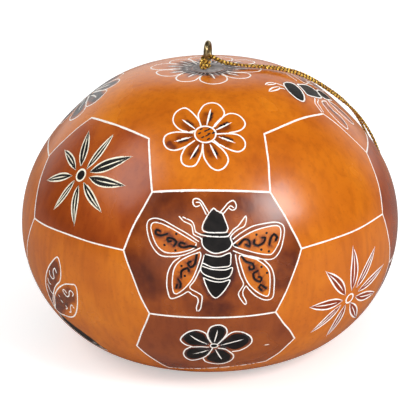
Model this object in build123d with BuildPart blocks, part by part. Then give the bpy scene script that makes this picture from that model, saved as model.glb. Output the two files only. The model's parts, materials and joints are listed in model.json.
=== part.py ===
from build123d import *
from math import cos, pi, radians, sin, tan
import os

os.makedirs("parts", exist_ok=True)

# A carved gourd ornament: a dried, hollow gourd with its loose seeds, hung from
# a brass screw eye by a knotted loop of thin cord. Millimetres, +Z up, the origin
# under the middle of the foot, the front of the carving towards -Y.

# Gourd
gourd_radius = 40.0
gourd_height = 57.9
side_wall = 3.2
floor_wall = 3.6
crown_wall = 4.4
dimple_radius = 9.0
dimple_depth = 1.2
scar_radius = 1.6
scar_height = 0.5
stem_radius = 3.0
stem_height = 0.4
stem_rounding = 0.2

# Outline of the gourd as shares of its radius and of its height
flank_shares = [(0.40, 0.0), (0.67, 0.029), (0.863, 0.140), (0.98, 0.299), (1.0, 0.4525)]
shoulder_shares = [
    (1.0, 0.4525),
    (0.925, 0.651),
    (0.78, 0.795),
    (0.595, 0.908),
    (0.4275, 0.974),
    (0.24, 0.9968),
    (0.0, 1.0),
]

# Screw eye
wire_diameter = 1.0
ring_radius = 1.9
eye_neck = 0.29
eye_bend = 70.0
ring_sweep = 322.0
eye_turn = 12.0
end_chamfer = 0.12
plain_shank = 0.9
thread_length = 4.4
thread_core_radius = 0.45
thread_crest_radius = 0.72
thread_pitch = 0.7
thread_root_width = 0.3
screw_point = 0.9
pilot_clearance = 0.05

# Cord and knot
cord_diameter = 0.6
bail_clearance = 0.08
bail_angle = 217.0
bail_spacing = 0.66
bail_sweep = 190.0
knot_radius = 1.0
knot_angle = 211.0
knot_clearance = 0.08

# Seeds
seed_length = 8.4
seed_width = 4.6
seed_thickness = 1.7
seed_tip_width = 1.6
seed_rounding = 0.5
seed_gap = 0.35
seed_ring_radii = [4.8, 10.2, 15.4]
seed_ring_counts = [3, 7, 10]
seed_lean = 4.0

overrun = 1.0

# Route of the hanging cord, from its end at the knot over the shoulder to the
# lowest point of the loop and back to its other end at the knot
cord_route = [
    (-0.21, -0.99, 60.95),
    (0.70, -1.19, 60.90),
    (1.6, -1.3, 60.4),
    (3.0, -1.25, 59.6),
    (5.2, -1.2, 59.0),
    (8.4, -1.2, 58.5),
    (12.1, -1.0, 58.1),
    (15.4, -0.8, 57.5),
    (18.8, -0.2, 56.4),
    (22.1, 0.8, 54.6),
    (25.3, 1.6, 52.2),
    (27.9, 2.2, 50.0),
    (29.9, 3.7, 48.1),
    (31.7, 5.8, 45.8),
    (33.8, 7.9, 42.6),
    (36.0, 9.7, 38.4),
    (37.9, 11.0, 33.2),
    (38.9, 11.7, 28.0),
    (39.0, 11.9, 23.2),
    (38.9, 12.1, 18.6),
    (38.9, 12.2, 15.0),
    (38.4, 13.5, 13.6),
    (37.6, 15.3, 13.6),
    (37.1, 16.6, 15.0),
    (37.1, 16.6, 18.5),
    (37.2, 16.4, 22.9),
    (37.3, 16.0, 28.2),
    (36.6, 15.1, 33.3),
    (35.1, 13.8, 37.7),
    (33.2, 11.9, 41.9),
    (31.5, 9.8, 44.9),
    (29.8, 7.7, 47.4),
    (27.8, 5.7, 49.8),
    (25.2, 4.0, 52.1),
    (22.0, 2.9, 54.5),
    (18.7, 1.9, 56.4),
    (15.3, 0.9, 57.5),
    (11.9, 0.2, 58.1),
    (8.2, -0.1, 58.4),
    (5.2, -0.2, 58.6),
    (3.1, -0.35, 59.05),
    (1.7, -0.65, 59.85),
    (0.75, -0.79, 60.36),
    (-0.13, -0.60, 60.42),
]
bend_share = 0.45

# Heights and radii that follow
wire_radius = wire_diameter / 2
cord_radius = cord_diameter / 2
cavity_radius = gourd_radius - side_wall
cavity_height = gourd_height - floor_wall - crown_wall
stem_top = gourd_height + stem_height
pilot_radius = wire_radius + pilot_clearance
bend_radius = ring_radius * cos(radians(eye_bend)) / (1 - cos(radians(eye_bend)))
bend_height = stem_top + eye_neck
ring_height = bend_height + (ring_radius + bend_radius) * sin(radians(eye_bend))
thread_top = stem_top - plain_shank
screw_tip = thread_top - thread_length

# The plane of the ring: local x points away from the front, local y points up
eye_plane = Plane(
    origin=(0, 0, 0),
    x_dir=(sin(radians(eye_turn)), cos(radians(eye_turn)), 0),
    z_dir=(cos(radians(eye_turn)), -sin(radians(eye_turn)), 0),
)


def outline(shares, radius, foot, height):
    """Points of an outline, from shares of a radius and of a height above its foot."""
    return [(across * radius, foot + up * height) for across, up in shares]


def on_ring(angle, distance):
    """Point of the ring's plane, at a distance from the ring's centre."""
    turn = radians(angle)
    return Vector(distance * cos(turn), ring_height + distance * sin(turn))


# Gourd shell: grown in one piece, hollow, with a pilot hole for the screw
flank = outline(flank_shares, gourd_radius, 0, gourd_height)
shoulder = outline(shoulder_shares, gourd_radius, 0, gourd_height)
inner_flank = outline(flank_shares, cavity_radius, floor_wall, cavity_height)
inner_shoulder = outline(shoulder_shares, cavity_radius, floor_wall, cavity_height)

with BuildPart() as gourd_shell:
    with BuildSketch(Plane.XZ):
        with BuildLine():
            Spline((0, dimple_depth), (dimple_radius, 0), tangents=((1, 0), (1, 0)))
            Line((dimple_radius, 0), flank[0])
            Spline(*flank, tangents=((1, 0), (0, 1)))
            Spline(*shoulder, tangents=((0, 1), (-1, 0)))
            Line(shoulder[-1], (0, dimple_depth))
        make_face()
    revolve(axis=Axis.Z)
    with Locations((0, 0, gourd_height)):
        Cylinder(stem_radius, 2 * stem_height)
    stem_rim = gourd_shell.edges().filter_by(GeomType.CIRCLE).sort_by(Axis.Z)[-1]
    fillet(stem_rim, radius=stem_rounding)
    with Locations((0, 0, dimple_depth)):
        Cylinder(scar_radius, 2 * scar_height)
    with BuildSketch(Plane.XZ):
        with BuildLine():
            Line((0, floor_wall), inner_flank[0])
            Spline(*inner_flank, tangents=((1, 0), (0, 1)))
            Spline(*inner_shoulder, tangents=((0, 1), (-1, 0)))
            Line(inner_shoulder[-1], (0, floor_wall))
        make_face()
    revolve(axis=Axis.Z, mode=Mode.SUBTRACT)
    with Locations((0, 0, stem_top)):
        Hole(pilot_radius, depth=stem_height + crown_wall + overrun)
gourd_shell.part.label = "gourd_shell"
export_step(gourd_shell.part, "parts/gourd_shell.step")

# Screw eye: one wire, bent to a ring at the top and threaded below
with BuildPart() as screw_eye:
    with BuildLine(eye_plane) as eye_path:
        Line((0, thread_top), (0, bend_height))
        CenterArc((bend_radius, bend_height), bend_radius, 180, -eye_bend)
        CenterArc((0, ring_height), ring_radius, -eye_bend, ring_sweep)
    with BuildSketch(Plane.XY.offset(thread_top)):
        Circle(wire_radius)
    sweep(path=eye_path.wires()[0])
    wire_end = on_ring(ring_sweep - eye_bend, ring_radius)
    flat_ends = screw_eye.faces().filter_by(GeomType.PLANE)
    cut_end = flat_ends.sort_by_distance(eye_plane.from_local_coords(wire_end))[0]
    chamfer(cut_end.edges(), length=end_chamfer)
    with BuildSketch(Plane.XZ):
        with BuildLine():
            Polyline(
                (0, screw_tip),
                (thread_core_radius, screw_tip + screw_point),
                (thread_core_radius, thread_top),
                (0, thread_top),
                close=True,
            )
        make_face()
    revolve(axis=Axis.Z)
    with BuildLine(Plane.XY.offset(screw_tip + screw_point)) as thread_path:
        Helix(thread_pitch, thread_length - screw_point - thread_pitch, thread_core_radius)
    with BuildSketch(Plane(thread_path.line @ 0, x_dir=(1, 0, 0), z_dir=thread_path.line % 0)):
        with BuildLine():
            Polyline(
                (-thread_core_radius / 2, -thread_root_width / 2),
                (thread_crest_radius - thread_core_radius, 0),
                (-thread_core_radius / 2, thread_root_width / 2),
                close=True,
            )
        make_face()
    sweep(path=thread_path.wires()[0], is_frenet=True)
screw_eye.part.label = "screw_eye"
export_step(screw_eye.part, "parts/screw_eye.step")

# Knot: the cord's two ends pass through the eye, turn round its near wire and
# are knotted in front of it
bail_radius = wire_radius + cord_radius + bail_clearance
bail_centre = on_ring(bail_angle, ring_radius)
along_wire = Vector(-sin(radians(bail_angle)), cos(radians(bail_angle)))
inner_end = on_ring(bail_angle, ring_radius - bail_radius)
bail_axis = Axis(
    eye_plane.from_local_coords(bail_centre),
    eye_plane.from_local_coords(bail_centre - along_wire)
    - eye_plane.from_local_coords(bail_centre),
)
knot_place = on_ring(knot_angle, ring_radius + wire_radius + knot_radius + knot_clearance)

with BuildPart() as hanger_knot:
    for side in (-1, 1):
        strand_place = inner_end + along_wire * (side * bail_spacing / 2)
        with BuildSketch(eye_plane):
            with Locations((strand_place.X, strand_place.Y)):
                Circle(cord_radius)
        revolve(axis=bail_axis, revolution_arc=bail_sweep)
    with Locations(eye_plane.from_local_coords(knot_place)):
        Sphere(knot_radius)
hanger_knot.part.label = "hanger_knot"
export_step(hanger_knot.part, "parts/hanger_knot.step")

# Hanging cord: straight runs joined by arcs as large as the runs allow
cord_corners = [Vector(*place) for place in cord_route]
cord_radii = []
for before, corner, after in zip(cord_corners, cord_corners[1:], cord_corners[2:]):
    run_in = corner - before
    run_out = after - corner
    half_turn = radians(run_in.get_angle(run_out)) / 2
    cord_radii.append(bend_share * min(run_in.length, run_out.length) / tan(half_turn))

with BuildPart() as hanger_cord:
    with BuildLine() as cord_path:
        FilletPolyline(*cord_corners, radius=cord_radii)
    cord_line = cord_path.wires()[0]
    with BuildSketch(Plane(origin=cord_line @ 0, z_dir=cord_line % 0)):
        Circle(cord_radius)
    sweep(path=cord_line)
hanger_cord.part.label = "hanger_cord"
export_step(hanger_cord.part, "parts/hanger_cord.step")

# Seeds: loose in the gourd, lying flat on its floor in three rings
with BuildPart() as seed:
    with BuildSketch():
        with BuildLine():
            round_end = seed_length / 2 - seed_width / 2
            Line((-seed_length / 2, -seed_tip_width / 2), (round_end, -seed_width / 2))
            ThreePointArc(
                (round_end, -seed_width / 2), (seed_length / 2, 0), (round_end, seed_width / 2)
            )
            Line((round_end, seed_width / 2), (-seed_length / 2, seed_tip_width / 2))
            Line((-seed_length / 2, seed_tip_width / 2), (-seed_length / 2, -seed_tip_width / 2))
        make_face()
    extrude(amount=seed_thickness)
    fillet(seed.faces().filter_by(Axis.Z).edges(), radius=seed_rounding)

seed_places = []
for ring, (radius, count) in enumerate(zip(seed_ring_radii, seed_ring_counts)):
    for index in range(count):
        angle = 360 * (index + ring / 2) / count
        lean = seed_lean * (-1) ** index
        heading = angle + 90 + lean + 180 * ((index + ring) % 2)
        x = radius * cos(radians(angle))
        y = radius * sin(radians(angle))
        seed_places.append(Location((x, y, floor_wall + seed_gap), (0, 0, heading)))

with BuildPart() as seeds:
    with Locations(*seed_places):
        add(seed.part)
seeds.part.label = "seeds"
export_step(seeds.part, "parts/seeds.step")

# Facts of the build
tube_volume = pi * cord_radius**2 * cord_line.length
print(f"cord length {cord_line.length:.2f} mm in {len(cord_route)} points")
print(f"cord volume {hanger_cord.part.volume:.3f} mm3, section by length {tube_volume:.3f} mm3")
print("cord bend radii mm:", " ".join(f"{radius:.1f}" for radius in cord_radii))
print(f"ring centre height {ring_height:.3f} mm, eye top {ring_height + ring_radius + wire_radius:.3f} mm")
for side in (1, -1):
    exit_place = eye_plane.from_local_coords(inner_end + along_wire * (side * bail_spacing / 2))
    print("cord leaves the knot at", [round(value, 3) for value in exit_place])
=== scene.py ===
"""Looks of a carved gourd ornament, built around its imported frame.

The rind is one mesh, cut along every incised line: honeycomb borders, petals, leaves,
wings and legs are real grooves, and burnt shapes have their own faces. The hanging
cord and its knot are three twisted plies each.
"""

import json
import logging
import math
from dataclasses import dataclass
from enum import Enum, IntEnum

import bpy
import numpy as np
from mathutils import Matrix, Vector, noise
from mathutils.geometry import delaunay_2d_cdt
from mathutils.kdtree import KDTree

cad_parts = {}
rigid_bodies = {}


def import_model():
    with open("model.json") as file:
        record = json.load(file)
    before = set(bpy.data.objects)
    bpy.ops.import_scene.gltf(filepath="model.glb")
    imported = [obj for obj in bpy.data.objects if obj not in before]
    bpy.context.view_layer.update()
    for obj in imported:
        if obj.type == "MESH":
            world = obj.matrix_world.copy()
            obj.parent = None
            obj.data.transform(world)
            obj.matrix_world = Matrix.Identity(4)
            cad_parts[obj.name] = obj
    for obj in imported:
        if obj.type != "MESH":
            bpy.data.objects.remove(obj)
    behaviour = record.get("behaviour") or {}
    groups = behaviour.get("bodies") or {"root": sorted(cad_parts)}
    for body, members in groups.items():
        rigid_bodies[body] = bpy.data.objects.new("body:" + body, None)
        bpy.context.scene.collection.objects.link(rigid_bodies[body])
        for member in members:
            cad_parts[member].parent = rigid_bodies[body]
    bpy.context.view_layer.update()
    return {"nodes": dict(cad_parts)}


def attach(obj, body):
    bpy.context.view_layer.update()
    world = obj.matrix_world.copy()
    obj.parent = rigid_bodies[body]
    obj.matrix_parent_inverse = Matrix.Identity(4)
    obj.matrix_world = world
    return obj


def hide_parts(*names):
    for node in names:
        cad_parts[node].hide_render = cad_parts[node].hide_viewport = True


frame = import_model()

MM = 0.001
BURN = "burn"
PLY_LENGTH = "ply_length"
PATTERN_DROP = 0.2
log = logging.getLogger("carved_gourd")

Point = tuple[float, float]
Line = tuple[Point, ...]
Place = tuple[float, float, float]
Colour = tuple[float, float, float]
Socket = bpy.types.NodeSocket


class Tone(IntEnum):
    """What a face of the rind shows: also its material's place on the mesh."""

    AMBER = 0
    RED_BROWN = 1
    UMBER = 2
    BROWN = 3
    BLACK = 4
    CREAM = 5
    WHITE = 6
    CORE = 7
    # GREY is a painted sheen: grey that stands in for the varnish's reflection on burnt black.
    GREY = 8
    RUSSET = 9


class Ends(Enum):
    """How the two ends of a cut line finish."""

    ROUND = "round"
    POINTED = "pointed"
    CLOSED = "closed"


# Finishes


class NodeBoard:
    """A node tree with short ways to add and join nodes."""

    def __init__(self, tree: bpy.types.NodeTree) -> None:
        """Takes the tree to build in."""
        self.tree = tree

    def add(self, kind: str, **settings: object) -> bpy.types.Node:
        """Adds a node.

        Args:
            kind: Blender's name of the node type.
            settings: properties to set on it.

        Returns:
            The new node.
        """
        node = self.tree.nodes.new(kind)
        for name, value in settings.items():
            setattr(node, name, value)
        return node

    def join(self, source: Socket, target: Socket) -> None:
        """Links two sockets."""
        self.tree.links.new(source, target)

    def feed(self, kind: str, *values: object, **settings: object) -> Socket:
        """Adds a node and fills its first inputs.

        Args:
            kind: Blender's name of the node type.
            values: a socket, a value, or None for an input that is left alone.
            settings: properties to set on the node.

        Returns:
            The node's first output.
        """
        node = self.add(kind, **settings)
        for socket, value in zip(node.inputs, values):
            if isinstance(value, Socket):
                self.join(value, socket)
            elif value is not None:
                socket.default_value = value
        return node.outputs[0]

    def sum_of(self, operation: str, *values: Socket | float) -> Socket:
        """Adds an operation on numbers and gives the result's socket."""
        return self.feed("ShaderNodeMath", *values, operation=operation)

    def spread(
        self, source: Socket, low: float, high: float, start: float = 0.0, end: float = 1.0,
        **settings: object,
    ) -> Socket:
        """Adds a map of a value from start..end to low..high.

        Args:
            source: the value.
            low: result at and below the start.
            high: result at and above the end.
            start: where the value starts.
            end: where it ends.
            settings: properties to set on the node.

        Returns:
            The mapped value's socket.
        """
        return self.feed("ShaderNodeMapRange", source, start, end, low, high, **settings)


class MaterialBoard(NodeBoard):
    """The node tree of a new material."""

    def __init__(self, name: str) -> None:
        """Starts an empty material of that name."""
        self.material = bpy.data.materials.new(name)
        self.material.use_nodes = True
        super().__init__(self.material.node_tree)
        self.tree.nodes.clear()
        self.output = self.add("ShaderNodeOutputMaterial")

    def noise(self, scale: float, detail: float = 2.0, stretch: Place = (1.0, 1.0, 1.0)) -> Socket:
        """Adds noise over Object coordinates.

        Args:
            scale: features per metre.
            detail: octaves of finer noise.
            stretch: factor on each axis of the coordinates.

        Returns:
            The noise's value socket.
        """
        mapping = self.add("ShaderNodeMapping")
        mapping.inputs["Scale"].default_value = stretch
        texture = self.add("ShaderNodeTexNoise")
        texture.inputs["Scale"].default_value = scale
        texture.inputs["Detail"].default_value = detail
        self.join(self.add("ShaderNodeTexCoord").outputs["Object"], mapping.inputs["Vector"])
        self.join(mapping.outputs["Vector"], texture.inputs["Vector"])
        return texture.outputs["Fac"]

    def ramp(self, source: Socket, stops: list[tuple[float, Colour]]) -> Socket:
        """Adds a colour ramp.

        Args:
            source: value that picks the colour.
            stops: pairs of place from 0 to 1 and colour.

        Returns:
            The ramp's colour socket.
        """
        node = self.add("ShaderNodeValToRGB")
        elements = node.color_ramp.elements
        while len(elements) < len(stops):
            elements.new(0.5)
        for element, (place, colour) in zip(elements, stops):
            element.position = place
            element.color = (*colour, 1.0)
        self.join(source, node.inputs["Fac"])
        return node.outputs["Color"]

    def mix(
        self, share: Socket | float, first: Socket | Colour, second: Socket | Colour, blend: str = "MIX"
    ) -> Socket:
        """Adds a colour mix.

        Args:
            share: how much of the second colour, as a socket or a number.
            first: the colour at share 0.
            second: the colour at share 1.
            blend: Blender's name of the blend.

        Returns:
            The mixed colour's socket.
        """
        node = self.add("ShaderNodeMix", data_type="RGBA", blend_type=blend)
        for socket, value in ((0, share), (6, first), (7, second)):
            if isinstance(value, Socket):
                self.join(value, node.inputs[socket])
            elif isinstance(value, tuple):
                node.inputs[socket].default_value = (*value, 1.0)
            else:
                node.inputs[socket].default_value = value
        return node.outputs[2]

    def attribute(self, name: str) -> Socket:
        """Adds the mesh's named attribute and gives its value socket."""
        return self.add("ShaderNodeAttribute", attribute_name=name).outputs["Fac"]

    def shader(self, *reliefs: tuple[Socket, float, float]) -> bpy.types.Node:
        """Adds the Principled shader, joined to the output.

        Args:
            reliefs: height, strength and depth in metres of each relief of the surface.

        Returns:
            The shader node.
        """
        node = self.add("ShaderNodeBsdfPrincipled")
        self.join(node.outputs["BSDF"], self.output.inputs["Surface"])
        normal = None
        for height, strength, depth in reliefs:
            relief = self.add("ShaderNodeBump")
            relief.inputs["Strength"].default_value = strength
            relief.inputs["Distance"].default_value = depth
            self.join(height, relief.inputs["Height"])
            if normal is not None:
                self.join(normal, relief.inputs["Normal"])
            normal = relief.outputs["Normal"]
        if normal is not None:
            self.join(normal, node.inputs["Normal"])
        return node


@dataclass(frozen=True)
class RindFinish:
    """Dyed rind under clear varnish, which darkens where the burn attribute says."""

    name: str
    body: Colour
    deep: Colour
    light: Colour
    clouds: float = 75.0
    fibres: float = 700.0
    specks: float = 1500.0
    roughness: tuple[float, float] = (0.20, 0.32)
    mottling: float = 0.45
    specular: float = 0.6
    singed: Colour = (0.42, 0.30, 0.5)
    charred: Colour = (0.019, 0.015, 0.016)

    def material(self) -> bpy.types.Material:
        """Builds the material and gives it back."""
        board = MaterialBoard(self.name)
        cloud = board.noise(self.clouds, 3.0)
        fibre = board.noise(self.fibres, 3.0, (1.0, 1.0, 0.16))
        speck = board.noise(self.specks, 2.0)
        colour = board.ramp(cloud, [(0.30, self.deep), (0.52, self.body), (0.72, self.light)])
        streak = board.ramp(fibre, [(0.32, (0.72, 0.62, 0.5)), (0.55, (1.0, 1.0, 1.0))])
        colour = board.mix(self.mottling, colour, streak, "MULTIPLY")
        spots = board.ramp(speck, [(0.30, (0.80, 0.70, 0.6)), (0.42, (1.0, 1.0, 1.0))])
        colour = board.mix(self.mottling, colour, spots, "MULTIPLY")
        uneven = board.spread(board.noise(650.0, 3.0), 0.7, 1.3, 0.3, 0.7)
        burn = board.sum_of("MULTIPLY", board.attribute(BURN), uneven)
        colour = board.mix(board.spread(burn, 0.0, 1.0, 0.0, 0.5), colour, self.singed, "MULTIPLY")
        colour = board.mix(board.spread(burn, 0.0, 1.0, 0.45, 0.95), colour, self.charred)
        grain = board.noise(2500.0, 2.0)
        shader = board.shader((fibre, 0.12, 0.0002), (grain, 0.55, 0.00002))
        board.join(colour, shader.inputs["Base Color"])
        board.join(board.spread(cloud, *self.roughness), shader.inputs["Roughness"])
        shader.inputs["Specular IOR Level"].default_value = self.specular
        return board.material


@dataclass(frozen=True)
class PatchyFinish:
    """A surface that shifts between two colours in soft patches, with a fine relief.

    Patches and grain are noise in features per metre. The roughness runs with the grain,
    or with the patches where it is worn by patch.
    """

    name: str
    low: Colour
    high: Colour
    patches: float
    grain: float | None
    stops: tuple[float, float]
    relief: tuple[float, float]
    roughness: tuple[float, float]
    worn_by_patch: bool = False
    stretch: Place = (1.0, 1.0, 1.0)
    metallic: float = 0.0
    specular: float = 0.5

    def material(self) -> bpy.types.Material:
        """Builds the material and gives it back."""
        board = MaterialBoard(self.name)
        patch = board.noise(self.patches, 3.0)
        grain = patch if self.grain is None else board.noise(self.grain, 2.0, self.stretch)
        shader = board.shader((grain, *self.relief))
        board.join(board.ramp(patch, [*zip(self.stops, (self.low, self.high))]), shader.inputs["Base Color"])
        worn = board.spread(patch if self.worn_by_patch else grain, *self.roughness)
        board.join(worn, shader.inputs["Roughness"])
        shader.inputs["Metallic"].default_value = self.metallic
        shader.inputs["Specular IOR Level"].default_value = self.specular
        return board.material


@dataclass(frozen=True)
class YarnFinish:
    """Metal foil yarn with dark gaps between its wraps; reads the ply's own length."""

    name: str = "metallic_yarn"
    bright: Colour = (1.0, 0.66, 0.12)
    dull: Colour = (0.50, 0.22, 0.02)
    gap: Colour = (0.09, 0.035, 0.006)
    wraps_per_metre: float = 1300.0
    metallic: float = 0.4

    def material(self) -> bpy.types.Material:
        """Builds the material and gives it back."""
        board = MaterialBoard(self.name)
        tint = board.noise(1400.0, 2.0)
        turns = board.sum_of("MULTIPLY", board.attribute(PLY_LENGTH), self.wraps_per_metre * 2.0 * math.pi)
        wave = board.sum_of("SINE", turns)
        foil = board.ramp(tint, [(0.42, self.dull), (0.56, self.bright)])
        colour = board.mix(board.spread(wave, 0.0, 1.0, -0.7, 0.1), self.gap, foil)
        shader = board.shader((wave, 0.35, 0.00004))
        shader.inputs["Metallic"].default_value = self.metallic
        board.join(colour, shader.inputs["Base Color"])
        board.join(board.spread(tint, 0.42, 0.20, 0.4, 0.6), shader.inputs["Roughness"])
        return board.material


def burnt(name: str, char: Colour, ember: Colour) -> PatchyFinish:
    """Rind burnt dark with a hot point and varnished over, from its char to its ember colour."""
    return PatchyFinish(
        name, char, ember, 520.0, 1900.0, (0.35, 0.75), (0.25, 0.0002), (0.34, 0.52), specular=0.2
    )


def pith(name: str, pale: Colour, shade: Colour, roughness: float = 0.7) -> PatchyFinish:
    """Pale pith laid bare by a cutting tool, dry and finely torn; the same finish also gives the grey painted
    sheen on burnt black.

    Args:
        name: the material's name.
        pale: its lighter colour.
        shade: its darker one.
        roughness: its middle roughness.

    Returns:
        The finish.
    """
    rough = (roughness - 0.1, roughness + 0.1)
    return PatchyFinish(name, shade, pale, 1400.0, None, (0.25, 0.55), (0.2, 0.00015), rough)


TARNISHED_BRASS = PatchyFinish(
    "tarnished_brass", (0.30, 0.22, 0.11), (0.72, 0.55, 0.27), 900.0, 2600.0, (0.35, 0.62),
    (0.08, 0.00005), (0.42, 0.22), worn_by_patch=True, stretch=(1.0, 1.0, 0.3), metallic=1.0,
)
DRIED_SEED = PatchyFinish(
    "dried_seed", (0.46, 0.33, 0.18), (0.74, 0.62, 0.42), 350.0, 1500.0, (0.35, 0.55),
    (0.3, 0.0002), (0.55, 0.75),
)
RIND_FINISHES = {
    Tone.AMBER: RindFinish(
        "amber_rind", (0.62, 0.156, 0.001), (0.51, 0.112, 0.001), (0.72, 0.205, 0.002)
    ),
    Tone.RED_BROWN: RindFinish(
        "red_brown_rind", (0.38, 0.066, 0.002), (0.25, 0.038, 0.002), (0.50, 0.108, 0.002)
    ),
    Tone.UMBER: RindFinish(
        "umber_rind", (0.26, 0.048, 0.002), (0.16, 0.028, 0.002), (0.38, 0.082, 0.002), 170.0
    ),
    Tone.BROWN: burnt("brown_burn", (0.24, 0.028, 0.003), (0.36, 0.055, 0.006)),
    Tone.BLACK: burnt("black_burn", (0.007, 0.006, 0.006), (0.018, 0.014, 0.013)),
    Tone.CREAM: pith("cream_cut", (0.95, 0.90, 0.74), (0.78, 0.66, 0.46)),
    Tone.WHITE: pith("white_cut", (0.95, 0.92, 0.88), (0.84, 0.74, 0.62)),
    Tone.CORE: pith("inner_pith", (0.70, 0.58, 0.38), (0.48, 0.36, 0.20), 0.8),
    Tone.RUSSET: RindFinish(
        "russet_rind", (0.27, 0.054, 0.006), (0.20, 0.036, 0.007), (0.36, 0.080, 0.004)
    ),
    # Grey painted sheen: stands in for the varnish's reflection on burnt black, on the crown streaks and the
    # stem stub.
    Tone.GREY: pith("grey_painted_sheen", (0.36, 0.33, 0.32), (0.15, 0.13, 0.125)),
}


# Shapes on the rind


class Outline:
    """The gourd's smooth outer outline, read from the frame's shell, in millimetres.

    Lengths along it start at the crown and run down to the middle of the base.
    """

    fit_powers = 11
    bins = 110
    samples = 900
    stem_reach = 3.3
    foot_radius = 16.0
    dimple_radius = 9.0
    dimple_depth = 1.2
    dimple_samples = 60
    axis_reach = 2.0
    skin_step = 0.1

    def __init__(self, shell: bpy.types.Object) -> None:
        """Reads the outline from the shell's mesh."""
        flat = np.zeros(3 * len(shell.data.vertices), np.float32)
        shell.data.vertices.foreach_get("co", flat)
        co = flat.reshape(-1, 3).astype(float) / MM
        radius = np.hypot(co[:, 0], co[:, 1])
        height = co[:, 2]
        self.middle = float(height[radius.argmax()])
        self.crown = float(height[radius > self.stem_reach].max())
        self.stem_top = float(height.max())
        self.hole_radius = float(radius[height > self.stem_top - 0.001].min())
        self.floor = float(height[(radius < self.axis_reach) & (height < self.middle)].max())
        foot_turn = math.atan2(-self.middle, self.foot_radius)
        turn = np.arctan2(height - self.middle, radius)
        reach = np.hypot(radius, height - self.middle)
        edges = np.linspace(foot_turn, math.pi / 2, self.bins + 1)
        turns = [math.pi / 2]
        reaches = [self.crown - self.middle]
        self.inner = []
        for low, high in zip(edges, edges[1:]):
            inside = np.flatnonzero((turn >= low) & (turn < high))
            outer = inside[(radius[inside] > self.stem_reach) | (height[inside] < self.middle)]
            if len(outer):
                best = outer[reach[outer].argmax()]
                turns.append(turn[best])
                reaches.append(reach[best])
            if len(inside):
                near = inside[reach[inside].argmin()]
                self.inner.append((float(radius[near]), float(height[near])))
        powers = np.arange(self.fit_powers)
        scale = math.pi / 2 - foot_turn
        table = (((math.pi / 2 - np.array(turns)) / scale) ** 2)[:, None] ** powers
        weights = np.linalg.lstsq(table, np.array(reaches), rcond=None)[0]
        error = np.abs(table @ weights - np.array(reaches)).max()
        log.info("outline read with a largest error of %.4f mm", error)
        down = np.linspace(0.0, 1.0, self.samples)
        reach_fit = ((down**2)[:, None] ** powers) @ weights
        fit_turn = math.pi / 2 - down * scale
        r = reach_fit * np.cos(fit_turn)
        r *= radius.max() / r.max()
        z = np.maximum(self.middle + reach_fit * np.sin(fit_turn), 0.0)
        r[0] = 0.0
        z[-1] = 0.0
        self.turn_of = fit_turn
        base_r = np.linspace(float(r[-1]), 0.0, self.dimple_samples)[1:]
        base_share = np.minimum(base_r / self.dimple_radius, 1.0)
        base_z = self.dimple_depth * (1.0 - 3.0 * base_share**2 + 2.0 * base_share**3)
        self.along_skin = np.concatenate([[0.0], np.cumsum(np.hypot(np.diff(r), np.diff(z)))])
        self.foot = float(self.along_skin[-1])
        self.radius = np.concatenate([r, base_r])
        self.height = np.concatenate([z, base_z])
        self.along = np.concatenate([self.along_skin, self.foot + float(r[-1]) - base_r])
        self.total = float(self.along[-1])

    def at(self, along: np.ndarray) -> tuple[np.ndarray, np.ndarray]:
        """Radius and height of the places at these lengths from the crown."""
        return np.interp(along, self.along, self.radius), np.interp(along, self.along, self.height)

    def run(self, along: np.ndarray, step: float) -> np.ndarray:
        """Unit directions down the outline.

        Args:
            along: lengths from the crown.
            step: how far on both sides of a place its direction is read.

        Returns:
            A row of changes in radius and a row of changes in height.
        """
        before, after = self.at(along - step), self.at(along + step)
        run = np.stack([after[0] - before[0], after[1] - before[1]])
        return run / np.maximum(np.hypot(run[0], run[1]), 1e-9)

    def skin(self, bearing: np.ndarray, along: np.ndarray) -> tuple[np.ndarray, np.ndarray]:
        """Points of the smooth skin and the outward directions there.

        Args:
            bearing: degrees round the axis.
            along: lengths from the crown.

        Returns:
            Points in millimetres and unit directions, one to a row.
        """
        turn = np.radians(bearing)
        radius, height = self.at(along)
        run = self.run(along, self.skin_step)
        points = np.stack([radius * np.sin(turn), -radius * np.cos(turn), height], -1)
        out = np.stack([-run[1] * np.sin(turn), run[1] * np.cos(turn), run[0]], -1)
        return points, out

    def find(self, spot: np.ndarray) -> tuple[np.ndarray, np.ndarray]:
        """Bearing and length of the places on the skin in line with points.

        Args:
            spot: points, one to a row.

        Returns:
            Bearings in degrees and lengths from the crown.
        """
        bearing = np.degrees(np.arctan2(spot[:, 0], -spot[:, 1]))
        turn = np.arctan2(spot[:, 2] - self.middle, np.hypot(spot[:, 0], spot[:, 1]))
        return bearing, np.interp(-turn, -self.turn_of, self.along_skin)


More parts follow.
